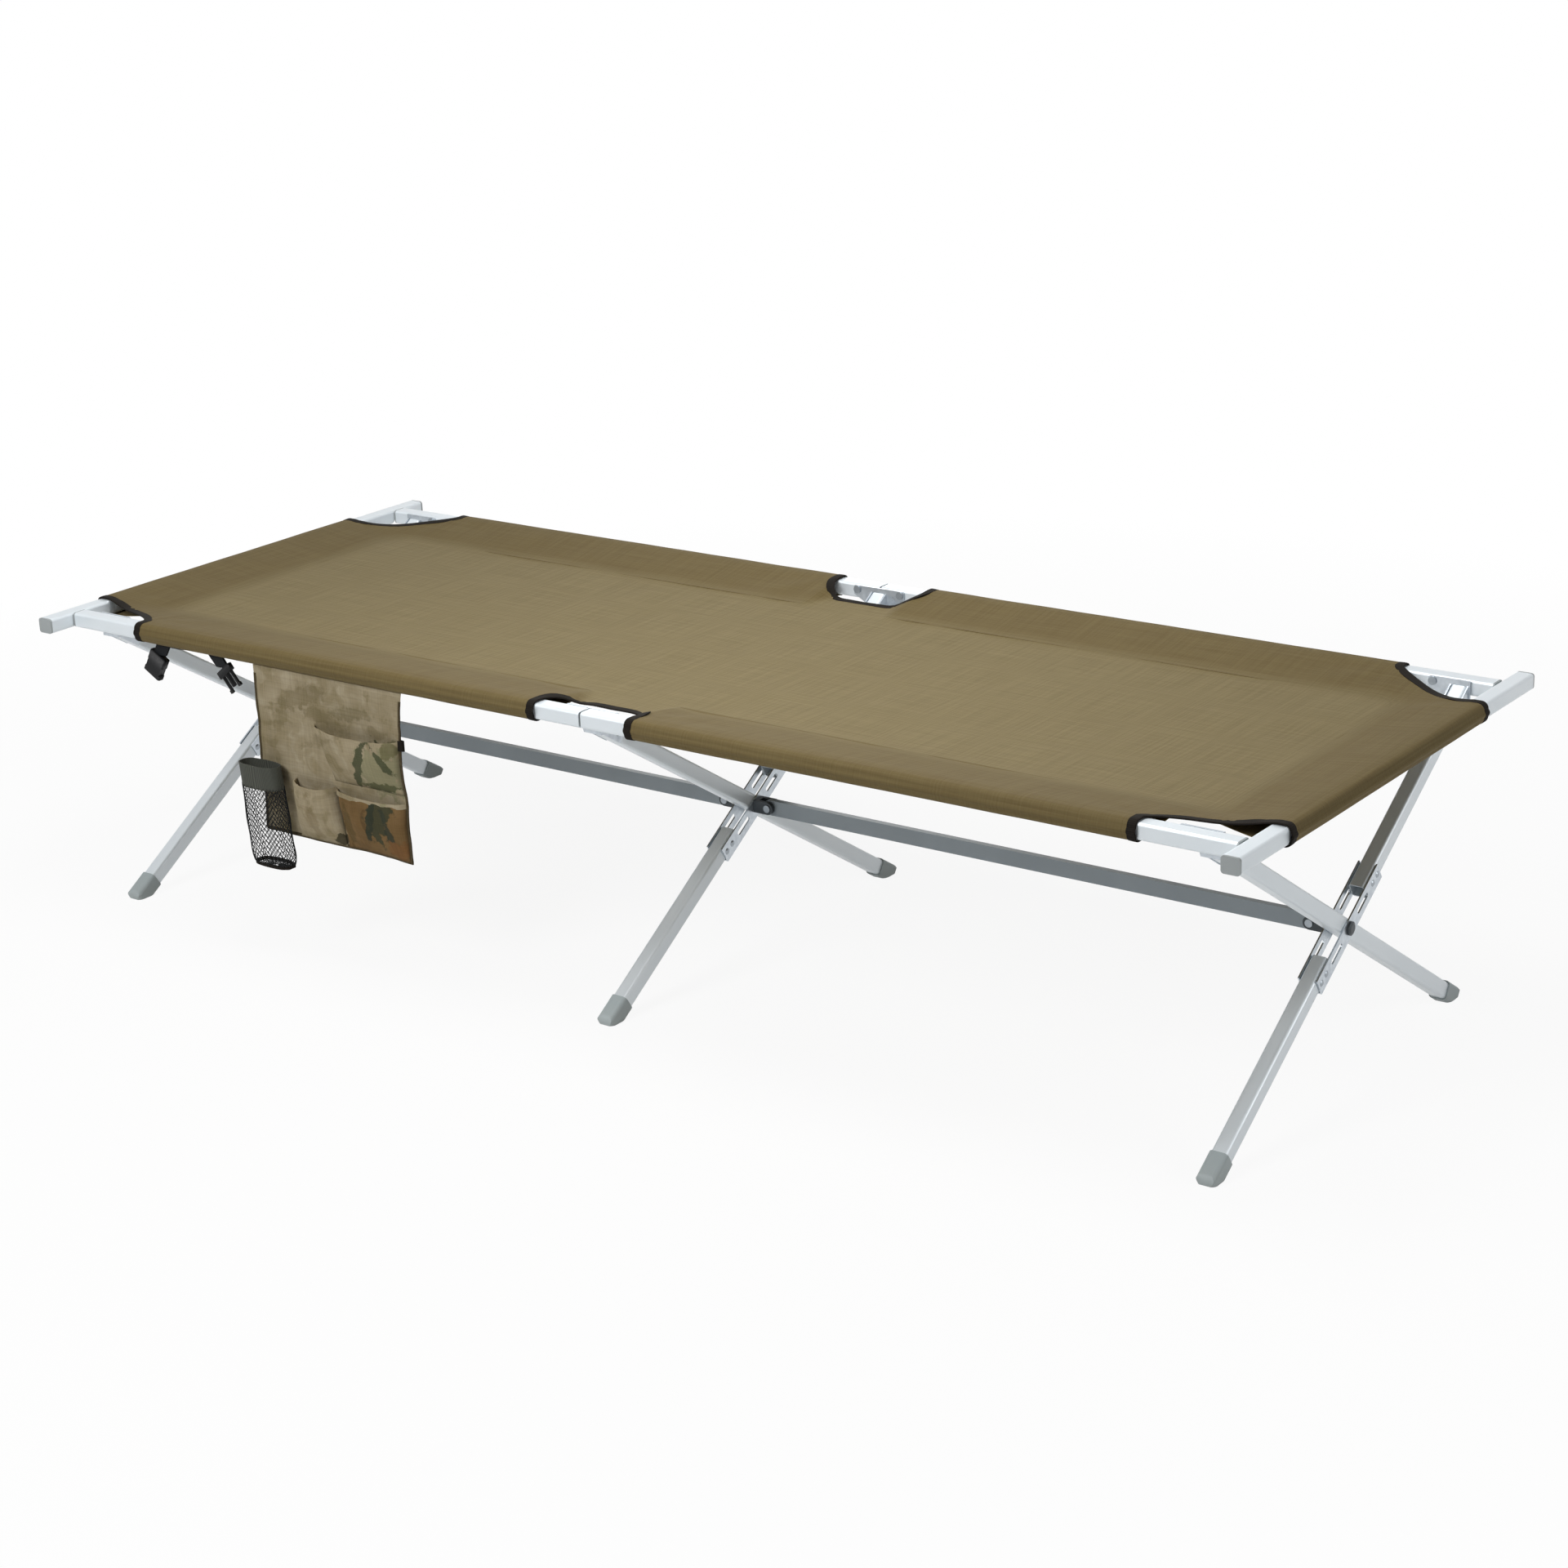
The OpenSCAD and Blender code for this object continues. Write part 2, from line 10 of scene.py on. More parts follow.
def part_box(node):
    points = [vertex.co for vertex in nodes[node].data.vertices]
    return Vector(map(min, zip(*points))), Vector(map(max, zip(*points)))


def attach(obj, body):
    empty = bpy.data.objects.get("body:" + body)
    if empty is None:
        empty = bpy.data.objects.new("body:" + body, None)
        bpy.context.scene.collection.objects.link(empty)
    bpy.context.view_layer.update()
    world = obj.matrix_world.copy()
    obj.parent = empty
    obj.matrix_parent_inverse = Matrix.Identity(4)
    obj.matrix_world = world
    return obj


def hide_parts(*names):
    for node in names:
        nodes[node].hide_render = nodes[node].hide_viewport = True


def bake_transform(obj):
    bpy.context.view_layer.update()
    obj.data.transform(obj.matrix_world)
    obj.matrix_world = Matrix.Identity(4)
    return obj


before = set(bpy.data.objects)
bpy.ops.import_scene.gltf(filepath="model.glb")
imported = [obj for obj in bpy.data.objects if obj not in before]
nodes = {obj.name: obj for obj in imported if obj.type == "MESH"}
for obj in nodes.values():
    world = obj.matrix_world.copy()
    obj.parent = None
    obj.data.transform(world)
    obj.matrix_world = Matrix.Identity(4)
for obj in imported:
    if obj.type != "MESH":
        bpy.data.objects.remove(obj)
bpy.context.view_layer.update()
ENDS = {"left": -1, "right": 1}

# ---- Studio ---------------------------------------------------------------
# A pale studio: a wide white floor, a big soft lamp high up in front to the
# left, and three weak ones: behind, overhead and beyond the right end.

YAW, PITCH, ROLL = -0.638, 0.3315, -0.0352
forward = Vector(
    (math.sin(YAW) * math.cos(PITCH), math.cos(YAW) * math.cos(PITCH), -math.sin(PITCH))
)
level = Vector((math.cos(YAW), -math.sin(YAW), 0))
upright = level.cross(forward)
side_axis = math.cos(ROLL) * level + math.sin(ROLL) * upright
up_axis = -math.sin(ROLL) * level + math.cos(ROLL) * upright
bpy.ops.object.camera_add()
camera = bpy.context.object
camera.name = "camera"
camera.data.sensor_width = 36
camera.data.lens = 72.54375
camera.data.clip_end = 100
camera.matrix_world = Matrix.Translation((2.445, -3.219, 1.622)) @ Matrix(
    (side_axis, up_axis, -forward)
).transposed().to_4x4()
bpy.context.scene.camera = camera
bpy.context.scene.view_settings.view_transform = "Standard"


def add_node(tree, kind, settings=(), inputs=()):
    """Adds one node with its settings, and sets or links its inputs."""
    node = tree.nodes.new("ShaderNode" + kind)
    for name, value in dict(settings).items():
        setattr(node, name, value)
    for name, value in dict(inputs).items():
        if isinstance(value, bpy.types.NodeSocket):
            tree.links.new(value, node.inputs[name])
        else:
            node.inputs[name].default_value = value
    return node


def colour(code):
    """Linear colour of an sRGB hex value."""
    parts = [int(code[i : i + 2], 16) / 255 for i in (1, 3, 5)]
    return [c / 12.92 if c < 0.04045 else ((c + 0.055) / 1.055) ** 2.4 for c in parts] + [1]


world = bpy.data.worlds.new("soft studio")
bpy.context.scene.world = world
world.use_nodes = True
tree = world.node_tree
tree.nodes.clear()
place = add_node(tree, "TexCoord")
height = add_node(tree, "SeparateXYZ", inputs={0: place.outputs["Generated"]})
ceiling = add_node(
    tree, "MapRange", inputs={0: height.outputs["Z"], 1: -0.25, 2: 0.9, 3: 0.07, 4: 0.05},
)
room = add_node(tree, "Background", inputs={"Strength": ceiling.outputs[0]})
seen = add_node(tree, "Background", inputs={"Color": (1, 1, 1, 1), "Strength": 1.0})


def seen_rays(tree):
    """1 for rays that the eye follows: straight, mirrored or through glass."""
    path = add_node(tree, "LightPath")
    ray = path.outputs["Is Camera Ray"]
    for kind in ("Is Glossy Ray", "Is Transmission Ray"):
        either = {0: ray, 1: path.outputs[kind]}
        ray = add_node(tree, "Math", {"operation": "MAXIMUM"}, either).outputs[0]
    return ray


mixed = add_node(
    tree, "MixShader", inputs={0: seen_rays(tree), 1: room.outputs[0], 2: seen.outputs[0]}
)
add_node(tree, "OutputWorld", inputs={"Surface": mixed.outputs[0]})


def softbox(name, at, size, power):
    bpy.ops.object.light_add(type="AREA", location=at)
    lamp = bpy.context.object
    lamp.name = name
    lamp.data.shape = "DISK"
    lamp.data.size = size
    lamp.data.energy = power
    lamp.rotation_mode = "QUATERNION"
    lamp.rotation_quaternion = (Vector((0, 0, 0.3)) - Vector(at)).to_track_quat("-Z", "Y")


softbox("lamp behind", (-3.0, 4.2, 1.7), 1.6, 20)
softbox("lamp overhead", (0.1, -0.2, 1.9), 0.9, 17)
softbox("lamp in front", (-0.8, -3.4, 3.0), 2.0, 98)
softbox("lamp beyond the right end", (3.8, 0.4, 1.6), 1.6, 27)

bpy.ops.mesh.primitive_plane_add(size=60, location=(0, 0, -0.0004))
floor = bpy.context.object
floor.name = "floor"
bpy.ops.object.transform_apply(location=True)
paint = bpy.data.materials.new("pale matt floor")
paint.use_nodes = True
tree = paint.node_tree
tree.nodes.clear()
matt = add_node(tree, "BsdfDiffuse", inputs={"Color": colour("#f2f2f1")})
white = add_node(tree, "Emission", inputs={"Strength": 1.0})
place = add_node(tree, "TexCoord")
away = add_node(tree, "VectorMath", {"operation": "LENGTH"}, {0: place.outputs["Object"]})
fade = add_node(
    tree, "MapRange", inputs={0: away.outputs["Value"], 1: 0.6, 2: 2.4, 3: 0.91, 4: 1.0}
)
part = add_node(tree, "Math", {"operation": "MULTIPLY"}, {0: seen_rays(tree), 1: fade.outputs[0]})
mixed = add_node(
    tree, "MixShader", inputs={0: part.outputs[0], 1: matt.outputs[0], 2: white.outputs[0]}
)
add_node(tree, "OutputMaterial", inputs={"Surface": mixed.outputs[0]})
floor.data.materials.append(paint)

# ---- Tubes ----------------------------------------------------------------
# Legs, side rails and end bars are drawn aluminium tube, satin anodised. Die
# lines run along each tube.


def new_material(name, base, roughness, metallic=0.0):
    """A material and its tree, its shader, and Object coordinates."""
    made = bpy.data.materials.new(name)
    made.use_nodes = True
    tree = made.node_tree
    shader = tree.nodes["Principled BSDF"]
    shader.inputs["Base Color"].default_value = colour(base)
    shader.inputs["Roughness"].default_value = roughness
    shader.inputs["Metallic"].default_value = metallic
    made.diffuse_color = colour(base)
    return made, tree, shader, add_node(tree, "TexCoord").outputs["Object"]


def two_tone(tree, shader, share, tones, height, strength, depth):
    """Shades a material from one tone to the other and gives it relief."""
    first, second = map(colour, tones)
    shade = add_node(tree, "Mix", {"data_type": "RGBA"}, {0: share, 6: first, 7: second})
    tree.links.new(shade.outputs[2], shader.inputs["Base Color"])
    bump = add_node(tree, "Bump", inputs={"Strength": strength, "Distance": depth, "Height": height})
    tree.links.new(bump.outputs[0], shader.inputs["Normal"])


def finish_cad(material, slot_name, *names):
    """Gives CAD nodes their material."""
    for name in names:
        mesh = nodes[name].data
        mesh.materials.clear()
        mesh.materials.append(material)


rail_low, rail_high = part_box("rail_far_right")
leg_low, leg_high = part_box("near_leg_right")
leg_slope = math.atan2(leg_high.z - leg_low.z, leg_high.y - leg_low.y)


def anodised_tube(name, turn):
    # Satin anodising: an even, cool light grey with soft stretched highlights.
    # Die lines are about 0.4 mm apart, drawn at 3 mm so that they show.
    made, tree, shader, at = new_material(name, "#e0e8ec", 0.42, 0.3)
    along = add_node(
        tree, "Mapping", {"vector_type": "TEXTURE"},
        {"Vector": at, "Rotation": turn, "Scale": (0.5, 0.003, 0.003)},
    )
    lines = add_node(tree, "TexNoise", inputs={"Vector": along.outputs[0], "Scale": 1, "Detail": 3})
    tone = add_node(
        tree, "MapRange", inputs={0: lines.outputs["Fac"], 1: 0.3, 2: 0.7, 3: 0.34, 4: 0.48},
    )
    tree.links.new(tone.outputs[0], shader.inputs["Roughness"])
    bath = add_node(tree, "TexNoise", inputs={"Vector": at, "Scale": 6, "Detail": 2})
    tones = ("#dfe7ec", "#eaf0f4")
    two_tone(tree, shader, bath.outputs["Fac"], tones, lines.outputs["Fac"], 0.06, 0.0001)
    return made


along_x = anodised_tube("anodised aluminium along the cot", (0, 0, 0))
across = anodised_tube("anodised aluminium across the cot", (0, 0, math.pi / 2))
near_slant = anodised_tube("anodised aluminium near legs", (0, -leg_slope, -math.pi / 2))
far_slant = anodised_tube("anodised aluminium far legs", (0, -leg_slope, math.pi / 2))
for end in ENDS:
    finish_cad(along_x, "aluminium_tube", "rail_near_" + end, "rail_far_" + end)
    finish_cad(across, "aluminium_tube", "end_bar_" + end)
SETS = ("left", "centre", "right")
for where in SETS:
    finish_cad(near_slant, "aluminium_tube", "near_leg_" + where)
    finish_cad(far_slant, "aluminium_tube", "far_leg_" + where)

# ---- Channels and brackets ------------------------------------------------
# Pressed steel channels at the crossings, head brackets, rivets and pins,
# all zinc plated: shinier and a little bluer than the tubes, faintly spangled.


def zinc_plate(name, bright, dull, roughness):
    # Bright zinc plate: cloudy reflections, a spangle of about 6 mm, and a
    # bluer tone than the anodised tubes.
    made, tree, shader, at = new_material(name, bright, roughness, 0.85)
    spangle = add_node(tree, "TexVoronoi", inputs={"Vector": at, "Scale": 160})
    cloud = add_node(tree, "TexNoise", inputs={"Vector": at, "Scale": 30, "Detail": 3})
    tone = add_node(
        tree, "MapRange",
        inputs={0: cloud.outputs["Fac"], 1: 0.3, 2: 0.7, 3: roughness - 0.05, 4: roughness + 0.06},
    )
    tree.links.new(tone.outputs[0], shader.inputs["Roughness"])
    patchy = add_node(
        tree, "Math", {"operation": "MULTIPLY"},
        {0: spangle.outputs["Distance"], 1: cloud.outputs["Fac"]},
    )
    two_tone(tree, shader, patchy.outputs[0], (bright, dull), cloud.outputs["Fac"], 0.05, 0.0003)
    return made


plated = zinc_plate("zinc plated steel", "#ccd3d9", "#9fa7af", 0.32)
rivet_plate = zinc_plate("zinc plated rivets", "#a4abb1", "#7f868c", 0.36)
for where in SETS:
    finish_cad(
        plated, "plated_steel", "leg_channel_" + where, "head_bracket_near_" + where,
        "head_bracket_far_" + where,
    )
    finish_cad(rivet_plate, "plated_steel", "rivets_near_" + where, "rivets_far_" + where)
for end in ENDS:
    finish_cad(rivet_plate, "plated_steel", "rail_pins_near_" + end, "rail_pins_far_" + end)

# ---- Braces and crossing bolts --------------------------------------------
# The two long braces and the forks on the crossing bolts are steel with a
# stoved paint: dark grey on the braces, nearly black on the bolts.


def stoved_paint(name, base, light):
    # Stoved paint: slight orange peel of about 2 mm, soft broad highlights.
    made, tree, shader, at = new_material(name, base, 0.42, 0.35)
    peel = add_node(tree, "TexNoise", inputs={"Vector": at, "Scale": 420, "Detail": 2})
    cloud = add_node(tree, "TexNoise", inputs={"Vector": at, "Scale": 12, "Detail": 5})
    two_tone(tree, shader, cloud.outputs["Fac"], (base, light), peel.outputs["Fac"], 0.15, 0.0003)
    return made


brace_paint = stoved_paint("dark grey stoved paint", "#838c92", "#99a2a8")
bolt_paint = stoved_paint("blackened steel", "#33383c", "#4a5054")
finish_cad(brace_paint, "brace_metal", "brace_left", "brace_right")
finish_cad(bolt_paint, "dark_steel", *("crossing_bolt_" + where for where in SETS))

# ---- Foot caps, bar caps and rail plugs -----------------------------------
# Grey polypropylene mouldings with a fine spark-eroded grain. The feet have
# picked up a little dust where they stand.


def moulded_grey(name, base, dusty):
    # Moulded polypropylene: matt, waxy, grain of 0.3 mm drawn at 1.5 mm.
    made, tree, shader, at = new_material(name, base, 0.55)
    grain = add_node(tree, "TexNoise", inputs={"Vector": at, "Scale": 650, "Detail": 2})
    level = add_node(tree, "SeparateXYZ", inputs={0: at})
    dust = add_node(tree, "TexNoise", inputs={"Vector": at, "Scale": 70, "Detail": 5})
    low = add_node(
        tree, "MapRange", inputs={0: level.outputs["Z"], 1: 0.0, 2: 0.03, 3: 0.7, 4: 0.0}
    )
    much = add_node(
        tree, "Math", {"operation": "MULTIPLY"}, {0: low.outputs[0], 1: dust.outputs["Fac"]}
    )
    two_tone(tree, shader, much.outputs[0], (base, dusty), grain.outputs["Fac"], 0.2, 0.0003)
    return made


foot_grey = moulded_grey("grey moulded polypropylene", "#b4bfc1", "#a6a8a4")
cap_grey = moulded_grey("light grey moulded polypropylene", "#a6acad", "#9a9b99")
for where in SETS:
    finish_cad(foot_grey, "grey_plastic", "near_leg_foot_" + where, "far_leg_foot_" + where)
for end in ENDS:
    finish_cad(
        cap_grey, "grey_plastic", "bar_caps_" + end, "rail_plugs_near_" + end,
        "rail_plugs_far_" + end,
    )

# ---- Bed cloth ------------------------------------------------------------
# One stretched sheet of woven polyester in two halves. Its edges turn down
# round the rails and the end bar and come back under the sheet, sewn 100 mm
# in, so that the border is two layers and slopes down to the bed.

bar_low, bar_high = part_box("end_bar_right")
RAIL_Y = (rail_low.y + rail_high.y) / 2
RAIL_Z = (rail_low.z + rail_high.z) / 2
RAIL_HALF = (rail_high.y - rail_low.y) / 2
BAR_X = (bar_low.x + bar_high.x) / 2
BAR_HALF = (bar_high.x - bar_low.x) / 2
CLOTH = 0.0011
STAND_OFF = 0.0029
TOP_Z = rail_high.z + STAND_OFF
ON_TOP = 0.004
MID_FLAT, MID_MOUTH, MID_EDGE = 0.030, 0.074, 0.282
CORNER_MOUTH, BAR_MOUTH, BAR_COLUMN = 0.798, 0.258, BAR_X - 0.010
HEM_WIDTH, HEM_DROP, BED_SAG = 0.100, 0.0135, 0.006
EDGE_Y = RAIL_Y - ON_TOP


def smooth_min(a, b, k):
    h = max(k - abs(a - b), 0) / k
    return min(a, b) - h * h * k / 4


def half_width(x):
    """Half the sheet's width at a distance x from the middle of the cot."""
    if x < MID_MOUTH:
        u = max(0, x - MID_FLAT) / (MID_MOUTH - MID_FLAT)
        return MID_EDGE + (EDGE_Y - MID_EDGE) * (1 - math.sqrt(max(0, 1 - u * u)))
    if x <= CORNER_MOUTH:
        return EDGE_Y
    if x >= BAR_COLUMN:
        return BAR_MOUTH
    u = (x - CORNER_MOUTH) / (BAR_COLUMN - CORNER_MOUTH)
    return EDGE_Y - (EDGE_Y - BAR_MOUTH) * (1 - (1 - u) ** 1.25) ** 0.8


def border(x, y):
    """Distance of a point of the sheet from the tubes that carry it."""
    free = 1 - min(1, max(0, (x - 0.035) / (MID_MOUTH - 0.035)))
    return smooth_min(RAIL_Y - abs(y) + 0.07 * free * free * (3 - 2 * free), BAR_X - x, 0.04)


def bed_height(x, y):
    d = border(x, y) - ON_TOP
    if d <= 0:
        return TOP_Z
    dip = HEM_DROP * max(0, smooth_min(d / (HEM_WIDTH - ON_TOP), 1, 0.25))
    across_part = 1 - (y / RAIL_Y) ** 2
    dip += BED_SAG * across_part * (1 - (x / BAR_X) ** 4) * min(1, d / HEM_WIDTH)
    pull = 0
    for px, py in ((MID_MOUTH, EDGE_Y), (CORNER_MOUTH, EDGE_Y), (BAR_COLUMN, BAR_MOUTH)):
        for s in (-1, 1):
            dx, dy = x - px, y - s * py
            r = math.hypot(dx, dy)
            pull += math.exp(-r / 0.10) * r / (r + 0.03) * math.cos(8 * math.atan2(dy, dx))
    level_x = math.hypot(x, 0.04)
    soft = noise.noise(Vector((level_x * 9, y * 9, 1.7))) + 0.4 * noise.noise(
        Vector((level_x * 28, y * 28, 4.1))
    )
    ease = min(1, d / 0.03)
    return TOP_Z - dip + ease * (0.0011 * pull + 0.0009 * soft)


def sleeve_curve(half_wide):
    """Points round a tube, as (outwards, height) from its centre: from the
    top over the outside and the bottom, then back up to the seam."""
    w, h, r = half_wide + STAND_OFF, rail_high.z - RAIL_Z + STAND_OFF, 0.0088
    seam_out, seam_z = -HEM_WIDTH, TOP_Z - HEM_DROP - RAIL_Z - 0.0026
    points = [(-ON_TOP + k * (w - r + ON_TOP) / 3, h) for k in range(4)]
    points += [
        (w - r + r * math.sin(a), h - r + r * math.cos(a))
        for a in (math.pi / 12 * k for k in range(1, 7))
    ]
    points += [
        (w + 0.0020 * math.sin(math.pi * k / 7), h - r - k * 2 * (h - r) / 7) for k in range(1, 7)
    ]
    points += [
        (w - r + r * math.cos(a), -(h - r) - r * math.sin(a))
        for a in (math.pi / 12 * k for k in range(0, 7))
    ]
    points += [(w - r - k * 2 * (w - r) / 4, -h) for k in range(1, 5)]
    start = points[-1]
    for k in range(1, 13):
        t = k / 12
        points.append((start[0] + (seam_out - start[0]) * t, start[1] + (seam_z - start[1]) * t))
    return points


RAIL_CURVE = sleeve_curve(RAIL_HALF)
BAR_CURVE = sleeve_curve(BAR_HALF)


def columns():
    """Places of the sheet's columns along the cot, closer at the notches."""
    xs = [0.0, 0.008, 0.016, 0.023]
    xs += [MID_FLAT + (MID_MOUTH - MID_FLAT) * math.sin(math.pi / 2 * k / 11) for k in range(12)]
    count = 92
    xs += [MID_MOUTH + (CORNER_MOUTH - MID_MOUTH) * k / count for k in range(1, count + 1)]
    xs += [
        CORNER_MOUTH + (BAR_COLUMN - CORNER_MOUTH) * (1 - math.cos(math.pi * k / 18)) / 2
        for k in range(1, 19)
    ]
    return xs + [BAR_X - ON_TOP]


ROWS = 90
SLIP = 0.016


def slip_on_bar(bm):
    """The cloth has slid a little along the end bars, towards the near rail."""
    for v in bm.verts:
        t = min(1, max(0, (abs(v.co.x) - CORNER_MOUTH) / (BAR_COLUMN - CORNER_MOUTH)))
        v.co.y -= SLIP * t * t * (3 - 2 * t)


def fill(bm, uv, rows, flat):
    """Joins rows of vertices with faces, which get the vertices' flat places."""
    for a, b in zip(rows, rows[1:]):
        for j in range(len(a) - 1):
            face = bm.faces.new((a[j], b[j], b[j + 1], a[j + 1]))
            for loop in face.loops:
                loop[uv].uv = flat[loop.vert]


def object_from(bm, name, material):
    """Turns a bmesh into an object of the scene."""
    mesh = bpy.data.meshes.new(name)
    bm.to_mesh(mesh)
    bm.free()
    made = bpy.data.objects.new(name, mesh)
    bpy.context.scene.collection.objects.link(made)
    mesh.materials.append(material)
    return made


def bed_half(end, sign):
    """The cloth on one side of the rail joints, as a single layer."""
    bm = bmesh.new()
    from_tube = bm.verts.layers.float.new("from_tube")
    uv = bm.loops.layers.uv.new("cloth_metres")
    flat = {}

    def vertex(x, y, z, d, u, v):
        made = bm.verts.new((sign * x, y, z))
        made[from_tube] = d
        flat[made] = (sign * u, v)
        return made

    xs = columns()
    grid = []
    for x in xs:
        wide = half_width(x)
        line = []
        for j in range(ROWS + 1):
            y = wide * (2 * j / ROWS - 1)
            line.append(vertex(x, y, bed_height(x, y), border(x, y), x, y))
        grid.append(line)
    patches = [grid]
    sleeved = [i for i, x in enumerate(xs) if MID_MOUTH - 1e-6 < x < CORNER_MOUTH + 1e-6]
    for side in (-1, 1):
        wrap = []
        for i in sleeved:
            line = [grid[i][0 if side < 0 else ROWS]]
            length = EDGE_Y
            for k in range(1, len(RAIL_CURVE)):
                (o0, h0), (o1, h1) = RAIL_CURVE[k - 1], RAIL_CURVE[k]
                length += math.hypot(o1 - o0, h1 - h0)
                puff = 0.0007 * noise.noise(Vector((xs[i] * 16, o1 * 60, side * 3.3)))
                puff *= min(1, k / 4, (len(RAIL_CURVE) - k) / 6)
                swell = 1 + puff / 0.02
                line.append(
                    vertex(
                        xs[i], side * (RAIL_Y + o1 * (swell if o1 > 0 else 1)), RAIL_Z + h1 * swell,
                        -0.01, xs[i], side * length,
                    )
                )
            wrap.append(line)
        patches.append(wrap)
    wrap = []
    for j in range(ROWS + 1):
        line = [grid[-1][j]]
        y = line[0].co.y
        length = xs[-1]
        for k in range(1, len(BAR_CURVE)):
            (o0, h0), (o1, h1) = BAR_CURVE[k - 1], BAR_CURVE[k]
            length += math.hypot(o1 - o0, h1 - h0)
            puff = 0.0006 * noise.noise(Vector((y * 16, o1 * 60, 7.9)))
            puff *= min(1, k / 4, (len(BAR_CURVE) - k) / 6)
            swell = 1 + puff / 0.02
            line.append(vertex(BAR_X + o1, y, RAIL_Z + h1 * swell, -0.01, length, y))
        wrap.append(line)
    patches.append(wrap)
    for patch in patches:
        fill(bm, uv, patch, flat)
    bmesh.ops.recalc_face_normals(bm, faces=bm.faces)
    on_top = Vector((sign * 0.4, 0, TOP_Z))
    centre_face = min(bm.faces, key=lambda f: (f.calc_center_median() - on_top).length)
    if centre_face.normal.z < 0:
        bmesh.ops.reverse_faces(bm, faces=bm.faces)
    area = sum(f.calc_area() for f in bm.faces)
    slip_on_bar(bm)
    long_side = max(p[0] * sign for p in flat.values())
    return object_from(bm, "bed_" + end, bed_weave), area, long_side


def apply_modifiers(piece):
    bpy.ops.object.select_all(action="DESELECT")
    bpy.context.view_layer.objects.active = piece
    piece.select_set(True)
    for modifier in list(piece.modifiers):
        bpy.ops.object.modifier_apply(modifier=modifier.name)
    bpy.ops.object.shade_smooth_by_angle(angle=math.radians(40))


# 600 denier plain weave in a brown olive: threads 0.5 mm apart, drawn at
# 2 mm so that they show, with slubs and a faint sheen at a low angle.
bed_weave, tree, shader, _ = new_material("woven polyester, brown olive", "#8f8269", 0.78)
shader.inputs["Sheen Weight"].default_value = 0.03
shader.inputs["Sheen Roughness"].default_value = 0.5
shader.inputs["Specular IOR Level"].default_value = 0.22


def weave(tree, spacing, slub):
    """Height of a plain weave and the streaks of its threads, on the UV map."""
    flat = add_node(tree, "UVMap", {"uv_map": "cloth_metres"})
    parts = add_node(tree, "SeparateXYZ", inputs={0: flat.outputs[0]})
    waves = []
    for axis in ("X", "Y"):
        turns = add_node(
            tree, "Math", {"operation": "MULTIPLY"},
            {0: parts.outputs[axis], 1: 2 * math.pi / spacing},
        )
        waves.append(add_node(tree, "Math", {"operation": "SINE"}, {0: turns.outputs[0]}))
    over = add_node(
        tree, "Math", {"operation": "MULTIPLY"}, {0: waves[0].outputs[0], 1: waves[1].outputs[0]},
    )
    streaks = []
    for size in ((0.12, slub, 1), (slub, 0.12, 1)):
        stretched = add_node(
            tree, "Mapping", {"vector_type": "TEXTURE"}, {"Vector": flat.outputs[0], "Scale": size},
        )
        streaks.append(
            add_node(tree, "TexNoise", inputs={"Vector": stretched.outputs[0], "Scale": 1, "Detail": 2})
        )
    both = add_node(
        tree, "Math", {"operation": "ADD"},
        {0: streaks[0].outputs["Fac"], 1: streaks[1].outputs["Fac"]},
    )
    return over.outputs[0], both.outputs[0]


over, streak = weave(tree, 0.0020, 0.0024)
tint = add_node(tree, "MapRange", inputs={0: streak, 1: 0.75, 2: 1.25, 3: 0.0, 4: 1.0})
threads = add_node(
    tree, "Mix", {"data_type": "RGBA"},
    {0: tint.outputs[0], 6: colour("#766846"), 7: colour("#847754")},
)
distance = add_node(tree, "Attribute", {"attribute_name": "from_tube"})
# The border is doubled, so less light comes through it and it reads deeper.
doubled = add_node(
    tree, "MapRange",
    inputs={0: distance.outputs["Fac"], 1: HEM_WIDTH - 0.022, 2: HEM_WIDTH + 0.010, 3: 1.0, 4: 0.0},
)
deep = add_node(
    tree, "Mix", {"data_type": "RGBA", "blend_type": "MULTIPLY"},
    {0: doubled.outputs[0], 6: threads.outputs[2], 7: colour("#dcd6c6")},
)
# Two rows of lockstitch, 3 mm and 9 mm inside the seam's edge.
rows = []
for inset in (0.003, 0.009):
    off = add_node(
        tree, "Math", {"operation": "SUBTRACT"}, {0: distance.outputs["Fac"], 1: HEM_WIDTH - inset},
    )
    away = add_node(tree, "Math", {"operation": "ABSOLUTE"}, {0: off.outputs[0]})
    rows.append(
        add_node(
            tree, "MapRange", inputs={0: away.outputs[0], 1: 0.0006, 2: 0.0016, 3: 0.12, 4: 0.0},
        )
    )
stitched = add_node(
    tree, "Math", {"operation": "MAXIMUM"}, {0: rows[0].outputs[0], 1: rows[1].outputs[0]}
)
sewn = add_node(
    tree, "Mix", {"data_type": "RGBA"},
    {0: stitched.outputs[0], 6: deep.outputs[2], 7: colour("#5a4d31")},
)
tree.links.new(sewn.outputs[2], shader.inputs["Base Color"])
low = add_node(tree, "Math", {"operation": "MULTIPLY"}, {0: stitched.outputs[0], 1: -3.0})
relief = add_node(tree, "Math", {"operation": "ADD"}, {0: low.outputs[0], 1: over})
bump = add_node(
    tree, "Bump", inputs={"Strength": 0.35, "Distance": 0.00025, "Height": relief.outputs[0]},
)
tree.links.new(bump.outputs[0], shader.inputs["Normal"])

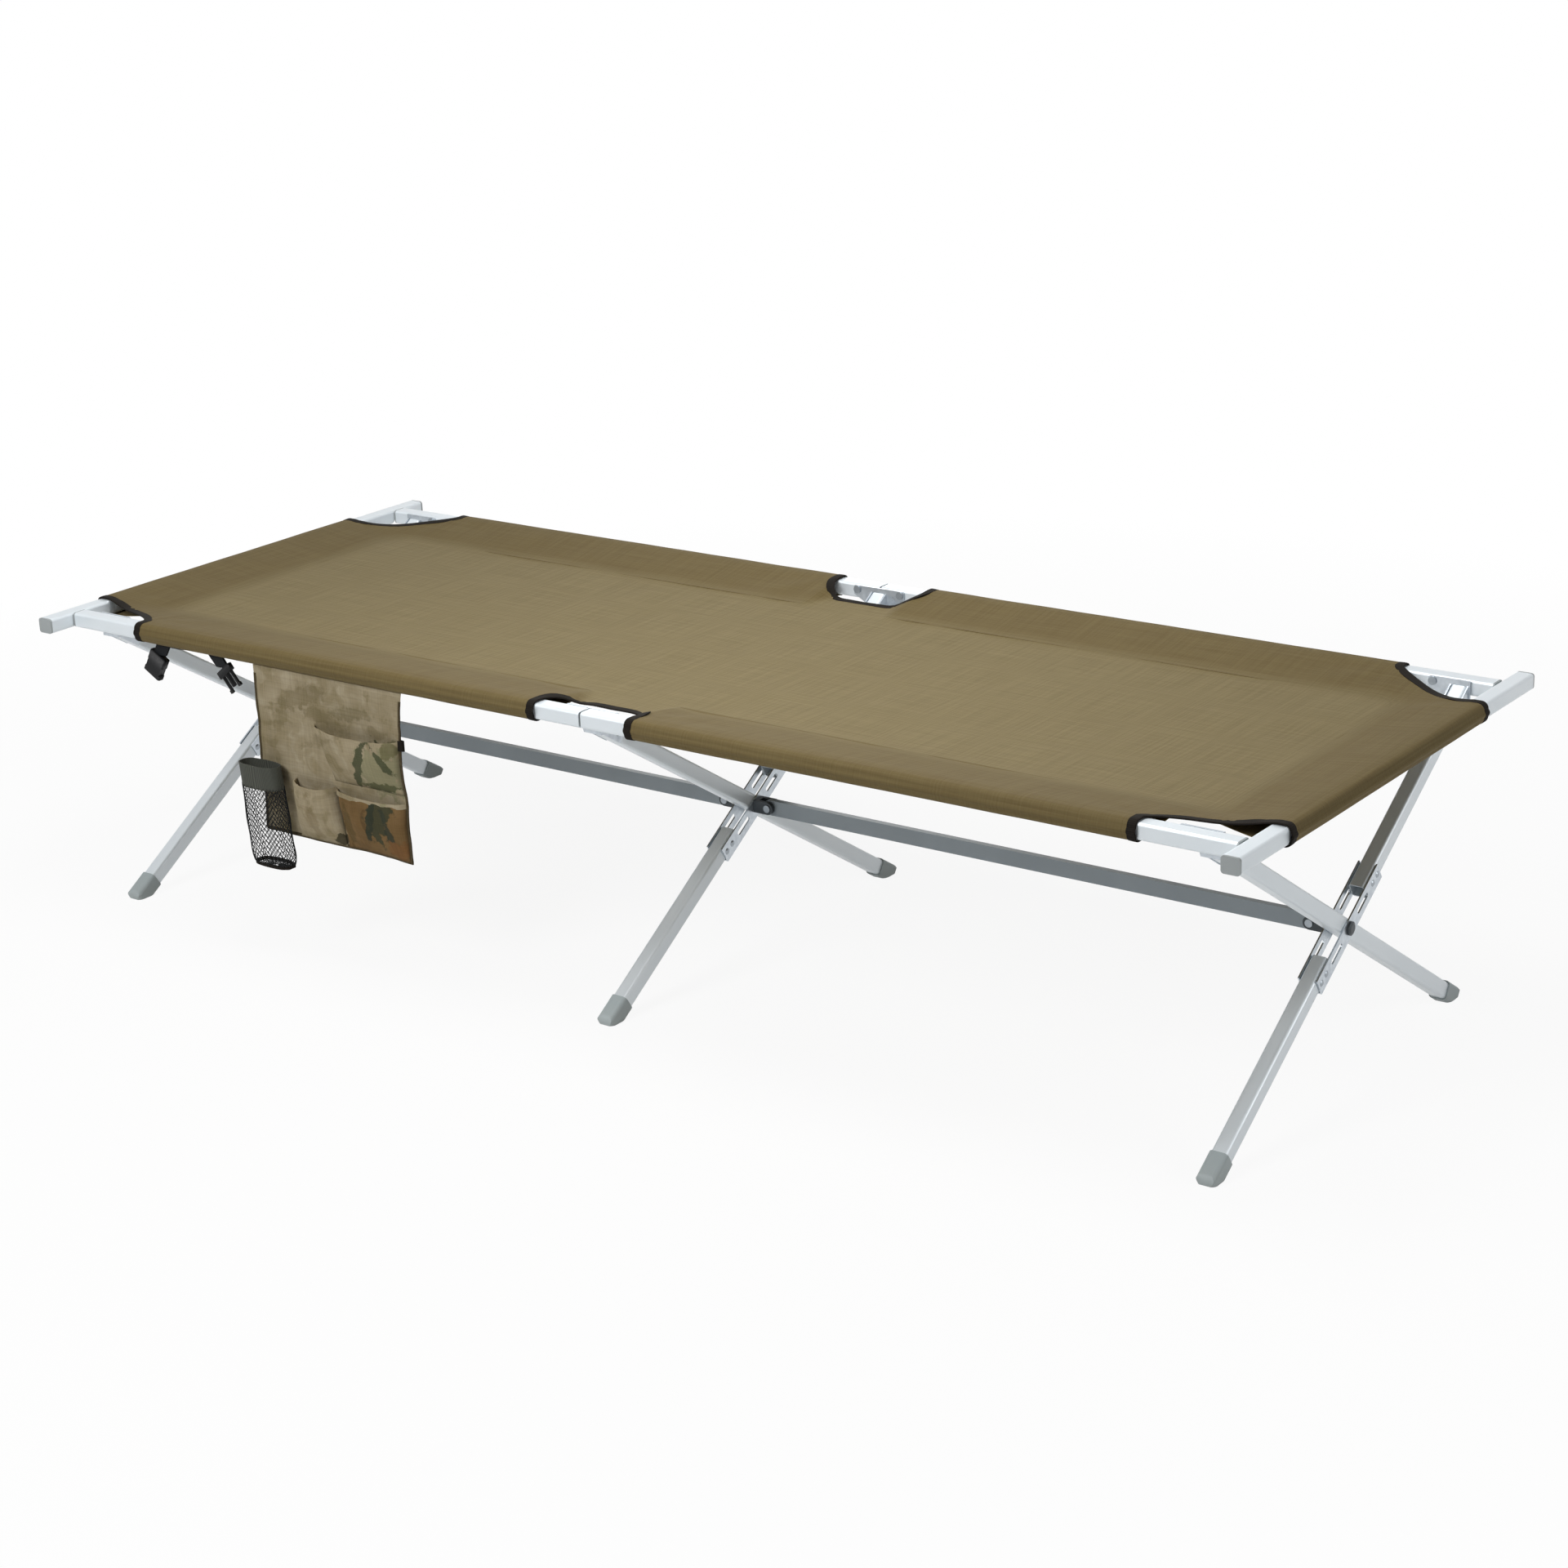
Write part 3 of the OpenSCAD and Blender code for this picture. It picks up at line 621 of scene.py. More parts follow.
FLAT_WIDTH = 2 * (
    EDGE_Y + sum(math.hypot(b[0] - a[0], b[1] - a[1]) for a, b in zip(RAIL_CURVE, RAIL_CURVE[1:]))
)
for end, sign in ENDS.items():
    piece, cut_area, cut_length = bed_half(end, sign)
    piece.modifiers.new("thickness", "SOLIDIFY").thickness = CLOTH
    piece.modifiers["thickness"].offset = -1
    apply_modifiers(piece)
    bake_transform(piece)
    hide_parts("bed_cloth_" + end)

# ---- Binding --------------------------------------------------------------
# Black polyester tape, 24 mm wide, folded over every cut edge of the cloth:
# the mouths of the sleeves, the corner cuts and the notches at the joints.

TAPE_SECTION = [
    (10.8, -0.55), (10.6, 0.35), (5.5, 0.62), (1.0, 0.66), (-0.5, 0.45), (-1.1, -0.55),
    (-0.5, -1.55), (1.0, -1.76), (5.5, -1.72), (10.6, -1.45),
]


def curve_normal(curve, k):
    a, b = curve[max(0, k - 1)], curve[min(len(curve) - 1, k + 1)]
    t = Vector((b[0] - a[0], b[1] - a[1])).normalized()
    return -t.y, t.x


def mouth(curve, place, last):
    """Edge of a sleeve's mouth: points and the outward side at each."""
    found = []
    for k in range(last):
        out, rise = curve_normal(curve, k)
        found.append((place(*curve[k]), place(out, rise, True)))
    return found


def on_rail(x):
    def place(o, h, turn_only=False):
        return Vector((0, o, h)) if turn_only else Vector((x, RAIL_Y + o, RAIL_Z + h))

    return place


def on_bar(o, h, turn_only=False):
    return Vector((o, 0, h)) if turn_only else Vector((BAR_X + o, BAR_MOUTH, RAIL_Z + h))


def sheet_edge(xs):
    found = []
    for x in xs:
        y = half_width(x)
        step = 0.004
        slope_x = (bed_height(x, y) - bed_height(x - step, y)) / step
        slope_y = (bed_height(x, y) - bed_height(x, y - step)) / step
        found.append(
            (Vector((x, y, bed_height(x, y))), Vector((-slope_x, -slope_y, 1)).normalized())
        )
    return found


TURN_STOPS = 26
middle_xs = [x for x in columns() if x < MID_MOUTH - 1e-6]
corner_xs = [x for x in columns() if CORNER_MOUTH + 1e-6 < x < BAR_COLUMN + 1e-6]
middle_edge = sheet_edge(middle_xs) + mouth(RAIL_CURVE, on_rail(MID_MOUTH), TURN_STOPS)
corner_edge = (
    mouth(RAIL_CURVE, on_rail(CORNER_MOUTH), TURN_STOPS)[::-1] + sheet_edge(corner_xs)
    + mouth(BAR_CURVE, on_bar, TURN_STOPS)
)


def skin(bm, uv, rings, girth):
    """Joins rings, given as (vertices, length along the edge), into a closed
    skin. girth is the way round one ring on the flat cloth."""
    count = len(rings[0][0])
    for (a, la), (b, lb) in zip(rings, rings[1:]):
        for j in range(count):
            face = bm.faces.new((a[j], a[(j + 1) % count], b[(j + 1) % count], b[j]))
            for loop, value in zip(face.loops, (la, la, lb, lb)):
                loop[uv].uv = (value, j / count * girth)
    for ring, _ in (rings[0], rings[-1]):
        bm.faces.new(ring)


def tape(bm, uv, edge, inwards, flip):
    """Sweeps the tape's section along an edge. inwards gives the side on
    which the cloth lies, and flip mirrors the edge to its own corner."""
    rings, length = [], 0
    for k, (point, out) in enumerate(edge):
        ahead = (edge[min(k + 1, len(edge) - 1)][0] - edge[max(k - 1, 0)][0]).normalized()
        into = out.cross(ahead).normalized()
        if into.dot(inwards(point)) < 0:
            into = -into
        if k:
            length += (point - edge[k - 1][0]).length
        ring = []
        for a, b in TAPE_SECTION:
            p = point + into * (a / 1000) + out * (b / 1000)
            ring.append(bm.verts.new((p.x * flip[0], p.y * flip[1], p.z)))
        rings.append((ring, length))
    skin(bm, uv, rings, 0.018)


def middle_inwards(point):
    return Vector((1, 0, 0)) if point.x > MID_MOUTH - 0.012 else Vector((0.4, -1, 0))


def corner_inwards(point):
    if point.x < CORNER_MOUTH + 0.004:
        return Vector((-1, 0, 0))
    return Vector((0, -1, 0)) if point.x > BAR_COLUMN - 0.004 else Vector((-1, -1, 0))


def ribbed_band(name, base, roughness, shine, way, pitch, wander, tones, relief):
    """A narrow woven band with ribs at a pitch in metres. The wave texture
    draws 3.18 ribs to a unit, and relief is the bump's strength and depth."""
    made, tree, shader, _ = new_material(name, base, roughness)
    shader.inputs["Specular IOR Level"].default_value = shine
    flat_map = add_node(tree, "UVMap", {"uv_map": "cloth_metres"})
    ribs = add_node(
        tree, "TexWave", {"bands_direction": way},
        {"Vector": flat_map.outputs[0], "Scale": 1 / pitch / 3.18, "Distortion": wander},
    ).outputs["Fac"]
    two_tone(tree, shader, ribs, tones, ribs, *relief)
    return made


# Grosgrain: ribs across the tape 1.2 mm apart, drawn at 2.4 mm.
tape_black = ribbed_band(
    "black polyester grosgrain", "#14110e", 0.85, 0.15, "X", 0.0024, 0.6, ("#0f0c09", "#1f1a14"),
    (0.4, 0.0003),
)

for end, sign in ENDS.items():
    bm = bmesh.new()
    uv = bm.loops.layers.uv.new("cloth_metres")
    for side in (-1, 1):
        tape(bm, uv, middle_edge, middle_inwards, (sign, side))
        tape(bm, uv, corner_edge, corner_inwards, (sign, side))
    slip_on_bar(bm)
    bmesh.ops.recalc_face_normals(bm, faces=bm.faces)
    piece = object_from(bm, "binding_" + end, tape_black)
    apply_modifiers(piece)
    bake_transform(piece)

# ---- Pocket ---------------------------------------------------------------
# A panel of thin printed cotton that hangs from the near rail's sleeve, with
# three bellows pouches sewn on its front and a net pouch for a bottle. Empty
# pouches slump a little and the panel is creased from being folded.

panel_low, panel_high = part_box("pocket_panel")
PANEL_LEFT, PANEL_RIGHT = panel_low.x, panel_high.x
PANEL_TOP, PANEL_BOTTOM = panel_high.z - 0.0006, panel_low.z + 0.008
PANEL_Y = (panel_low.y + panel_high.y) / 2


def panel_right(z):
    """Right edge of the panel: it draws in a little below the sleeve."""
    t = (PANEL_TOP - z) / (PANEL_TOP - PANEL_BOTTOM)
    return PANEL_RIGHT - 0.006 * math.sin(math.pi * min(1, t * 1.5) ** 0.8) if t < 0.66 else (
        PANEL_RIGHT + 0.004 * ((t - 0.66) / 0.34) ** 1.5
    )


def panel_y(x, z):
    """Creased face of the panel, flat where it meets the sleeve."""
    loose = min(1, max(0, (PANEL_TOP - z) / 0.05))
    folds = noise.noise(Vector((x * 15, z * 19, 2.2))) * 0.0026
    folds += abs(noise.noise(Vector((x * 34 + z * 20, z * 26, 9.1)))) * 0.0022
    folds += noise.noise(Vector((x * 90, z * 80, 5.5))) * 0.0004
    curl = 0.004 * max(0, (x - PANEL_RIGHT + 0.06) / 0.06) ** 2 * (1 - (z - PANEL_BOTTOM) / 0.24)
    return PANEL_Y + loose * (folds - curl)


def cloth(name, rows, material, thick, outward):
    """A cloth piece from rows of (point, flat place), made thick inwards. A
    third value, where a row has one, says how close it lies to a seam."""
    bm = bmesh.new()
    uv = bm.loops.layers.uv.new("cloth_metres")
    seam = bm.verts.layers.float.new("seam")
    flat = {}
    verts = []
    for row in rows:
        line = []
        for point, place, *sewn in row:
            made = bm.verts.new(point)
            made[seam] = sewn[0] if sewn else 0
            flat[made] = place
            line.append(made)
        verts.append(line)
    fill(bm, uv, verts, flat)
    bmesh.ops.recalc_face_normals(bm, faces=bm.faces)
    whole = sum((f.normal * f.calc_area() for f in bm.faces), Vector())
    if whole.dot(outward) < 0:
        bmesh.ops.reverse_faces(bm, faces=bm.faces)
    piece = object_from(bm, name, material)
    piece.modifiers.new("thickness", "SOLIDIFY").thickness = thick
    piece.modifiers["thickness"].offset = -1
    apply_modifiers(piece)
    return piece


def print_twill(name, grounds, flecks, patches):
    # Printed cotton twill: a clouded ground with ragged patches of olive,
    # brown and dark green, as on field gear; the sand print also has one
    # near-black patch that is painted shade. Matt, with painted shade along the
    # pouch fronts' sewn edges. The weave is drawn at 1.6 mm.
    made, tree, shader, at = new_material(name, grounds[0], 0.85)
    shader.inputs["Specular IOR Level"].default_value = 0.2
    cloud = add_node(tree, "TexNoise", inputs={"Vector": at, "Scale": 15, "Detail": 3})
    cut = add_node(
        tree, "MapRange", inputs={0: cloud.outputs["Fac"], 1: 0.42, 2: 0.60, 3: 0.0, 4: 0.8}
    )
    base = add_node(
        tree, "Mix", {"data_type": "RGBA"},
        {0: cut.outputs[0], 6: colour(grounds[0]), 7: colour(grounds[1])},
    )
    ground = base.outputs[2]
    mottle = add_node(
        tree, "TexNoise", inputs={"Vector": at, "Scale": 34, "Detail": 3, "Distortion": 0.8}
    )
    for low, high, start, end, tone in flecks:
        speck = add_node(
            tree, "MapRange", inputs={0: mottle.outputs["Fac"], 1: low, 2: high, 3: start, 4: end},
        )
        laid = add_node(
            tree, "Mix", {"data_type": "RGBA"}, {0: speck.outputs[0], 6: ground, 7: colour(tone)}
        )
        ground = laid.outputs[2]
    warp = add_node(tree, "TexNoise", inputs={"Vector": at, "Scale": 26, "Detail": 4})
    ragged_edge = add_node(
        tree, "TexNoise", inputs={"Vector": at, "Scale": 85, "Detail": 4, "Roughness": 0.6}
    )
    for tone, centre, size, turn, solid in patches:
        near = add_node(
            tree,
            "Mapping",
            {"vector_type": "TEXTURE"},
            {
                "Vector": at, "Location": (centre[0], PANEL_Y, centre[1]), "Rotation": (0, turn, 0),
                "Scale": (size[0], 0.5, size[1]),
            },
        )
        far = add_node(tree, "VectorMath", {"operation": "LENGTH"}, {0: near.outputs[0]})
        coarse = add_node(
            tree, "Math", {"operation": "MULTIPLY_ADD"},
            {0: warp.outputs["Fac"], 1: 0.9, 2: far.outputs["Value"]},
        )
        ragged = add_node(
            tree, "Math", {"operation": "MULTIPLY_ADD"},
            {0: ragged_edge.outputs["Fac"], 1: 2.2, 2: coarse.outputs[0]},
        )
        fray = {1: 2.0 + 0.45 * solid, 2: 2.72 - 0.1 * solid, 3: solid, 4: 0.0}
        mask = add_node(tree, "MapRange", inputs={0: ragged.outputs[0], **fray})
        laid = add_node(
            tree, "Mix", {"data_type": "RGBA"}, {0: mask.outputs[0], 6: ground, 7: colour(tone)}
        )
        ground = laid.outputs[2]
    over, streak = weave(tree, 0.0016, 0.002)
    worn = add_node(tree, "MapRange", inputs={0: streak, 1: 0.75, 2: 1.25, 3: 0.88, 4: 1.08})
    # Painted shade: the pouch fronts darken towards their sides and bottom, where they fold back to the
    # panel.
    near_seam = add_node(tree, "Attribute", {"attribute_name": "seam"})
    seam_shade = add_node(
        tree, "MapRange", inputs={0: near_seam.outputs["Fac"], 1: 0.3, 2: 1.0, 3: 1.0, 4: 0.55},
    )
    shade = add_node(
        tree, "Math", {"operation": "MULTIPLY"}, {0: worn.outputs[0], 1: seam_shade.outputs[0]}
    )
    dyed = add_node(
        tree, "VectorMath", {"operation": "SCALE"}, {0: ground, "Scale": shade.outputs[0]}
    )
    tree.links.new(dyed.outputs[0], shader.inputs["Base Color"])
    crumple = add_node(tree, "TexNoise", inputs={"Vector": at, "Scale": 55, "Detail": 4})
    fine = add_node(
        tree, "Math", {"operation": "MULTIPLY_ADD"}, {0: over, 1: 0.08, 2: crumple.outputs["Fac"]},
    )
    bump = add_node(
        tree, "Bump", inputs={"Strength": 0.55, "Distance": 0.002, "Height": fine.outputs[0]}
    )
    tree.links.new(bump.outputs[0], shader.inputs["Normal"])
    return made


sand_print = print_twill(
    "sand printed cotton twill",
    ("#a3967b", "#8f8264"),
    ((0.52, 0.64, 0.0, 0.6, "#b0a48b"), (0.34, 0.44, 0.6, 0.0, "#7f7353")),
    (
        ("#74684a", (-0.492, 0.372), (0.052, 0.016), -0.35, 0.55),
        ("#74684a", (-0.455, 0.350), (0.040, 0.010), 0.25, 0.5),
        ("#7c7050", (-0.535, 0.336), (0.012, 0.026), 0.6, 0.5),
        ("#6e6446", (-0.400, 0.362), (0.040, 0.010), -0.15, 0.5),
        ("#74684a", (-0.460, 0.316), (0.034, 0.010), -0.3, 0.45),
        ("#8d8869", (-0.345, 0.292), (0.040, 0.036), -0.3, 0.9),
        ("#484b34", (-0.381, 0.300), (0.007, 0.032), 0.35, 0.92),
        ("#484b34", (-0.344, 0.314), (0.032, 0.0045), 0.75, 0.92),
        ("#57583c", (-0.350, 0.270), (0.034, 0.006), -0.1, 0.92),
        ("#6a6645", (-0.328, 0.326), (0.012, 0.012), -0.6, 0.8),
        ("#7d6e4f", (-0.470, 0.205), (0.012, 0.034), -0.2, 0.5),
        # Painted shade: this near-black patch at the middle pouch's lower right stands for the shade of
        # a fold there.
        ("#37321f", (-0.432, 0.180), (0.012, 0.010), 0.2, 0.9),
    ),
)
brown_print = print_twill(
    "brown printed cotton twill",
    ("#785f3c", "#664f2f"),
    ((0.54, 0.62, 0.0, 0.5, "#7b6140"), (0.36, 0.42, 0.6, 0.0, "#4a391f")),
    (
        ("#3b3d2a", (-0.352, 0.226), (0.020, 0.036), 0.1, 0.92),
        ("#2f3326", (-0.368, 0.222), (0.006, 0.036), 0.2, 0.92),
        ("#33372a", (-0.334, 0.205), (0.007, 0.034), -0.35, 0.9),
        ("#7a5632", (-0.322, 0.185), (0.018, 0.016), 0.2, 0.85),
        ("#4c4124", (-0.412, 0.205), (0.010, 0.030), -0.2, 0.6),
    ),
)

# Bias tape round the panel: dark brown cotton, dull and a little fuzzy.
bias_tape, tree, shader, at = new_material("dark brown cotton tape", "#4b4130", 0.9)
shader.inputs["Specular IOR Level"].default_value = 0.15
fuzz = add_node(tree, "TexNoise", inputs={"Vector": at, "Scale": 300, "Detail": 3})
two_tone(tree, shader, fuzz.outputs["Fac"], ("#3c3323", "#5d523d"), fuzz.outputs["Fac"], 0.4, 0.0004)

FRONT = Vector((0, -1, 0))
rows = []
for j in range(61):
    z = PANEL_TOP + (PANEL_BOTTOM - PANEL_TOP) * j / 60
    right = panel_right(z)
    rows.append(
        [
            (Vector((x, panel_y(x, z), z)), (x - PANEL_LEFT, z))
            for x in (PANEL_LEFT + (right - PANEL_LEFT) * i / 64 for i in range(65))
        ]
    )
panel = cloth("panel_cloth", rows, sand_print, 0.0012, FRONT)
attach(panel, "pocket")
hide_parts("pocket_panel")

HEM_SECTION = [
    (1, -0.2), (0.99, 0.45), (0.5, 0.65), (0.05, 0.6), (-0.08, 0.2), (-0.09, -0.9), (0.02, -1.6),
    (1, -1.65),
]


def hem(bm, uv, edge, into, wide):
    """Sweeps the hem's section along an edge of the pocket's cloth. The
    section's first number is a share of its width, the second is in mm."""
    rings, length = [], 0
    for k, point in enumerate(edge):
        ahead = (edge[min(k + 1, len(edge) - 1)] - edge[max(k - 1, 0)]).normalized()
        out = FRONT - ahead * FRONT.dot(ahead)
        out.normalize()
        side = out.cross(ahead).normalized()
        if side.dot(into) < 0:
            side = -side
        if k:
            length += (point - edge[k - 1]).length
        ring = [bm.verts.new(point + side * (a * wide) + out * (b / 1000)) for a, b in HEM_SECTION]
        rings.append((ring, length))
    skin(bm, uv, rings, 0.016)


def finish_mesh(name, bm, material, body):
    bmesh.ops.recalc_face_normals(bm, faces=bm.faces)
    piece = object_from(bm, name, material)
    apply_modifiers(piece)
    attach(piece, body)
    return piece


bm = bmesh.new()
uv = bm.loops.layers.uv.new("cloth_metres")


def on_panel(x, z):
    return Vector((x, panel_y(x, z), z))


down = [PANEL_TOP - 0.012 - (PANEL_TOP - PANEL_BOTTOM - 0.013) * k / 40 for k in range(41)]
across_x = [PANEL_LEFT + (panel_right(PANEL_BOTTOM) - PANEL_LEFT) * k / 44 for k in range(45)]
for edge, into, wide in (
    ([on_panel(PANEL_LEFT, z) for z in down], (1, 0, 0), 0.004),
    ([on_panel(panel_right(z), z) for z in down], (-1, 0, 0), 0.003),
    ([on_panel(x, PANEL_BOTTOM) for x in across_x], (0, 0, 1), 0.005),
):
    hem(bm, uv, edge, Vector(into), wide)
panel_hem = finish_mesh("panel_hem", bm, bias_tape, "pocket")


def pouch(name, material, left, right, bottom, top, depth, slump, seed):
    """A bellows pouch: its front stands out from the panel and is open at
    the top. left and right are its sides at the bottom and at the top."""
    across, up = 34, 26
    rows = []
    for j in range(up + 1):
        t = j / up
        a = left[0] + (left[1] - left[0]) * t
        b = right[0] + (right[1] - right[0]) * t
        row = []
        for i in range(across + 1):
            u = i / across
            x = a + (b - a) * u
            bow = (1 - abs(2 * u - 1) ** 3.2) ** 0.55
            fill = (1 - (1 - t) ** 2.6) * (1 - 0.28 * t * t)
            z = bottom + (top - bottom) * t - slump * t**3 * math.sin(math.pi * u)
            crease = noise.noise(Vector((x * 40 + seed, z * 34, seed))) * 0.0034
            crease += noise.noise(Vector((x * 110, z * 95, seed * 2))) * 0.0010
            y = panel_y(x, z) - 0.0012 - (depth + crease) * bow * fill
            # How close a point lies to the pouch's sides and bottom, for the painted shade there.
            edge = max(abs(2 * u - 1) ** 24, (1 - t) ** 24)
            place = (u * (right[1] - left[1]) * 1.2, t * (top - bottom))
            row.append((Vector((x, y, z)), place, edge))
        rows.append(row)
    mouth_edge = [point for point, _, _ in rows[-1]]
    piece = cloth(name + "_front", rows, material, 0.0009, FRONT)
    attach(piece, "pocket")
    bm = bmesh.new()
    uv = bm.loops.layers.uv.new("cloth_metres")
    hem(bm, uv, mouth_edge, Vector((0, 0, -1)), 0.006)
    rim = finish_mesh(name + "_hem", bm, sand_print, "pocket")
    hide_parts(name)


# A folded tab of black webbing, caught in the panel's right edge.
tab_z = 0.333
tab_edge = panel_right(tab_z)
rows = []
for step in range(9):
    turned = math.pi * step / 8
    rows.append(
        [
            (
                Vector(
                    (
                        tab_edge - 0.003 + 0.009 * math.sin(turned) ** 0.5,
                        panel_y(tab_edge, tab_z) - 0.0030 * math.cos(turned),
                        tab_z + 0.014 * (i / 6 - 0.5),
                    )
                ),
                (step * 0.003, 0.014 * i / 6),
            )
            for i in range(7)
        ]
    )
tab = cloth("edge_tab", rows, tape_black, 0.0012, Vector((1, 0, 0)))
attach(tab, "pocket")

wide_low, wide_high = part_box("wide_pouch")
POUCH_LOW = 0.1715
pouch(
    "wide_pouch", sand_print, (-0.438, -0.468),
    (panel_right(0.27) - 0.003, panel_right(0.34) - 0.003), wide_low.z, wide_high.z + 0.008, 0.019,
    0.006, 3.1,
)
pouch(
    "middle_pouch", sand_print, (-0.510, -0.512), (-0.424, -0.438), POUCH_LOW, 0.254, 0.024, 0.005,
    7.7,
)
pouch(
    "lower_pouch", brown_print, (-0.421, -0.436),
    (panel_right(0.18) - 0.003, panel_right(0.25) - 0.003), POUCH_LOW, 0.252, 0.017, 0.003, 5.2,
)

# ---- Bottle net -----------------------------------------------------------
# Knotted black net with 7 mm diamonds under an elastic band, sewn to the
# panel along its back. It is empty, so its mouth draws in a little.

net_low, net_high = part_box("bottle_pouch")
NET_X = (net_low.x + net_high.x) / 2
NET_DEEP = net_high.y - net_low.y
NET_WIDE = net_high.x - net_low.x
NET_Y = net_high.y - NET_DEEP / 2
NET_LEAN = 0.007
BAND_HIGH, BAND_LONG = 0.033, 0.2


def net_place(turn, z):
    """A point of the net, at a share of the way round and a height."""
    t = (z - net_low.z) / (net_high.z - net_low.z)
    round_off = math.sqrt(max(0.02, 1 - max(0, 1 - t / 0.16) ** 2))
    wide = (NET_WIDE / 2 - 0.0022) * (0.80 + 0.2 * round_off) * (1 - 0.05 * t)
    deep = (NET_DEEP / 2 - 0.0016) * (0.62 + 0.38 * round_off) * (1 - 0.12 * t * t)
    angle = 2 * math.pi * turn
    c, s = math.cos(angle), math.sin(angle)
    x = wide * math.copysign(abs(c) ** 0.72, c)
    y = deep * math.copysign(abs(s) ** 0.72, s)
    sway = noise.noise(Vector((c * 2.1, s * 2.1, z * 26))) * 0.0016
    swell = 1 + sway / 0.03
    return Vector((NET_X + NET_LEAN * (1 - 2 * t) + x * swell, NET_Y + y * swell, z))


# Polyester yarn: near black, dull, with a fine uneven tone.
yarn, tree, shader, at = new_material("black knotted polyester", "#121415", 0.7)
shader.inputs["Specular IOR Level"].default_value = 0.2
grain = add_node(tree, "TexNoise", inputs={"Vector": at, "Scale": 900, "Detail": 1})
shade = add_node(
    tree, "Mix", {"data_type": "RGBA"},
    {0: grain.outputs["Fac"], 6: colour("#0d0f10"), 7: colour("#1f2223")},
)
tree.links.new(shade.outputs[2], shader.inputs["Base Color"])

bm = bmesh.new()
AROUND, LEVELS = 30, 28
band_low = net_high.z - BAND_HIGH
ring = []
for j in range(LEVELS + 1):
    z = net_low.z + 0.001 + (band_low + 0.003 - net_low.z - 0.001) * j / LEVELS
    ring.append([bm.verts.new(net_place((i + (j % 2) / 2) / AROUND, z)) for i in range(AROUND)])
for j in range(0, LEVELS - 1):
    for i in range(AROUND):
        left = i if j % 2 else i - 1
        bm.faces.new(
            (
                ring[j][i], ring[j + 1][(left + 1) % AROUND], ring[j + 2][i],
                ring[j + 1][left % AROUND],
            )
        )
floor_z = net_low.z + 0.001
inner = ring[0]
for step in range(1, 6):
    k = 1 - step / 6
    centre = Vector((NET_X + NET_LEAN, NET_Y, floor_z - 0.0006))
    line = [bm.verts.new(centre + (v.co - centre) * (k / (k + 1 / 6))) for v in inner]
    for i in range(AROUND):
        bm.faces.new((inner[i], inner[(i + 1) % AROUND], line[(i + 1) % AROUND], line[i]))
    inner = line
bm.faces.new(inner)
net = object_from(bm, "bottle_net", yarn)
net.modifiers.new("yarn", "WIREFRAME").thickness = 0.0010
apply_modifiers(net)
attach(net, "pocket")
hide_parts("bottle_pouch")

# Knitted elastic, 33 mm wide: dark olive grey, its upright ribs drawn at 2.2 mm.
elastic = ribbed_band(
    "ribbed knitted elastic", "#3d3f36", 0.8, 0.5, "X", 0.0022, 0.3, ("#2c2e29", "#4d4f45"),
    (0.5, 0.0006),
)
rows = []
for j in range(7):
    z = band_low + (net_high.z - 0.0005 - band_low) * j / 6
    rows.append([(net_place(i / 96, z), (i / 96 * BAND_LONG, z)) for i in range(97)])
band = cloth("bottle_band", rows, elastic, 0.0014, Vector((0, 0, 0)))
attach(band, "pocket")

# Black tape covers the seam round the net's bottom.
bm = bmesh.new()
uv = bm.loops.layers.uv.new("cloth_metres")
rings = []
STEPS = 72
NET_TAPE = ((1.1, -1.2), (1.3, 1.2), (0.9, 3.4), (-0.3, 3.5), (-0.9, 1.0), (-0.6, -1.4))
up = Vector((0, 0, 0.001))
for i in range(STEPS):
    point = net_place(i / STEPS, net_low.z + 0.0022)
    centre = Vector((NET_X + NET_LEAN, NET_Y, point.z))
    out = (point - centre).normalized()
    rings.append([bm.verts.new(point + out * (a / 1000) + up * b) for a, b in NET_TAPE])
for i in range(STEPS):
    a, b = rings[i], rings[(i + 1) % STEPS]
    for j in range(6):
        face = bm.faces.new((a[j], a[(j + 1) % 6], b[(j + 1) % 6], b[j]))
        for loop, value in zip(face.loops, (i, i, i + 1, i + 1)):
            loop[uv].uv = (value * 0.0025, j / 6 * 0.01)
net_tape = finish_mesh("net_tape", bm, tape_black, "pocket")

# ---- Straps ---------------------------------------------------------------
# Short loops of 25 mm webbing under the sleeve carry the two halves of a
# side-release buckle, which holds the folded cot together. A run of the same
# webbing is sewn along the sleeve between them.

# Polypropylene webbing: black, its slanting twill ribs drawn at 2 mm.
webbing = ribbed_band(
    "black polypropylene webbing", "#0e1013", 0.75, 0.2, "DIAGONAL", 0.002, 0.4,
    ("#090b0d", "#181b1e"), (0.5, 0.0005),
)


def band_of_cloth(name, path, width, thick, body):
    """A flat strap along a path in the plane across the cot."""
    rows = []
    length = 0
    for k, (x, y, z) in enumerate(path):
        if k:
            length += (Vector(path[k]) - Vector(path[k - 1])).length
        rows.append(
            [(Vector((x + width * (i / 8 - 0.5), y, z)), (length, width * i / 8)) for i in range(9)]
        )
    piece = cloth(name, rows, webbing, thick, FRONT)
    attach(piece, body)
    return piece


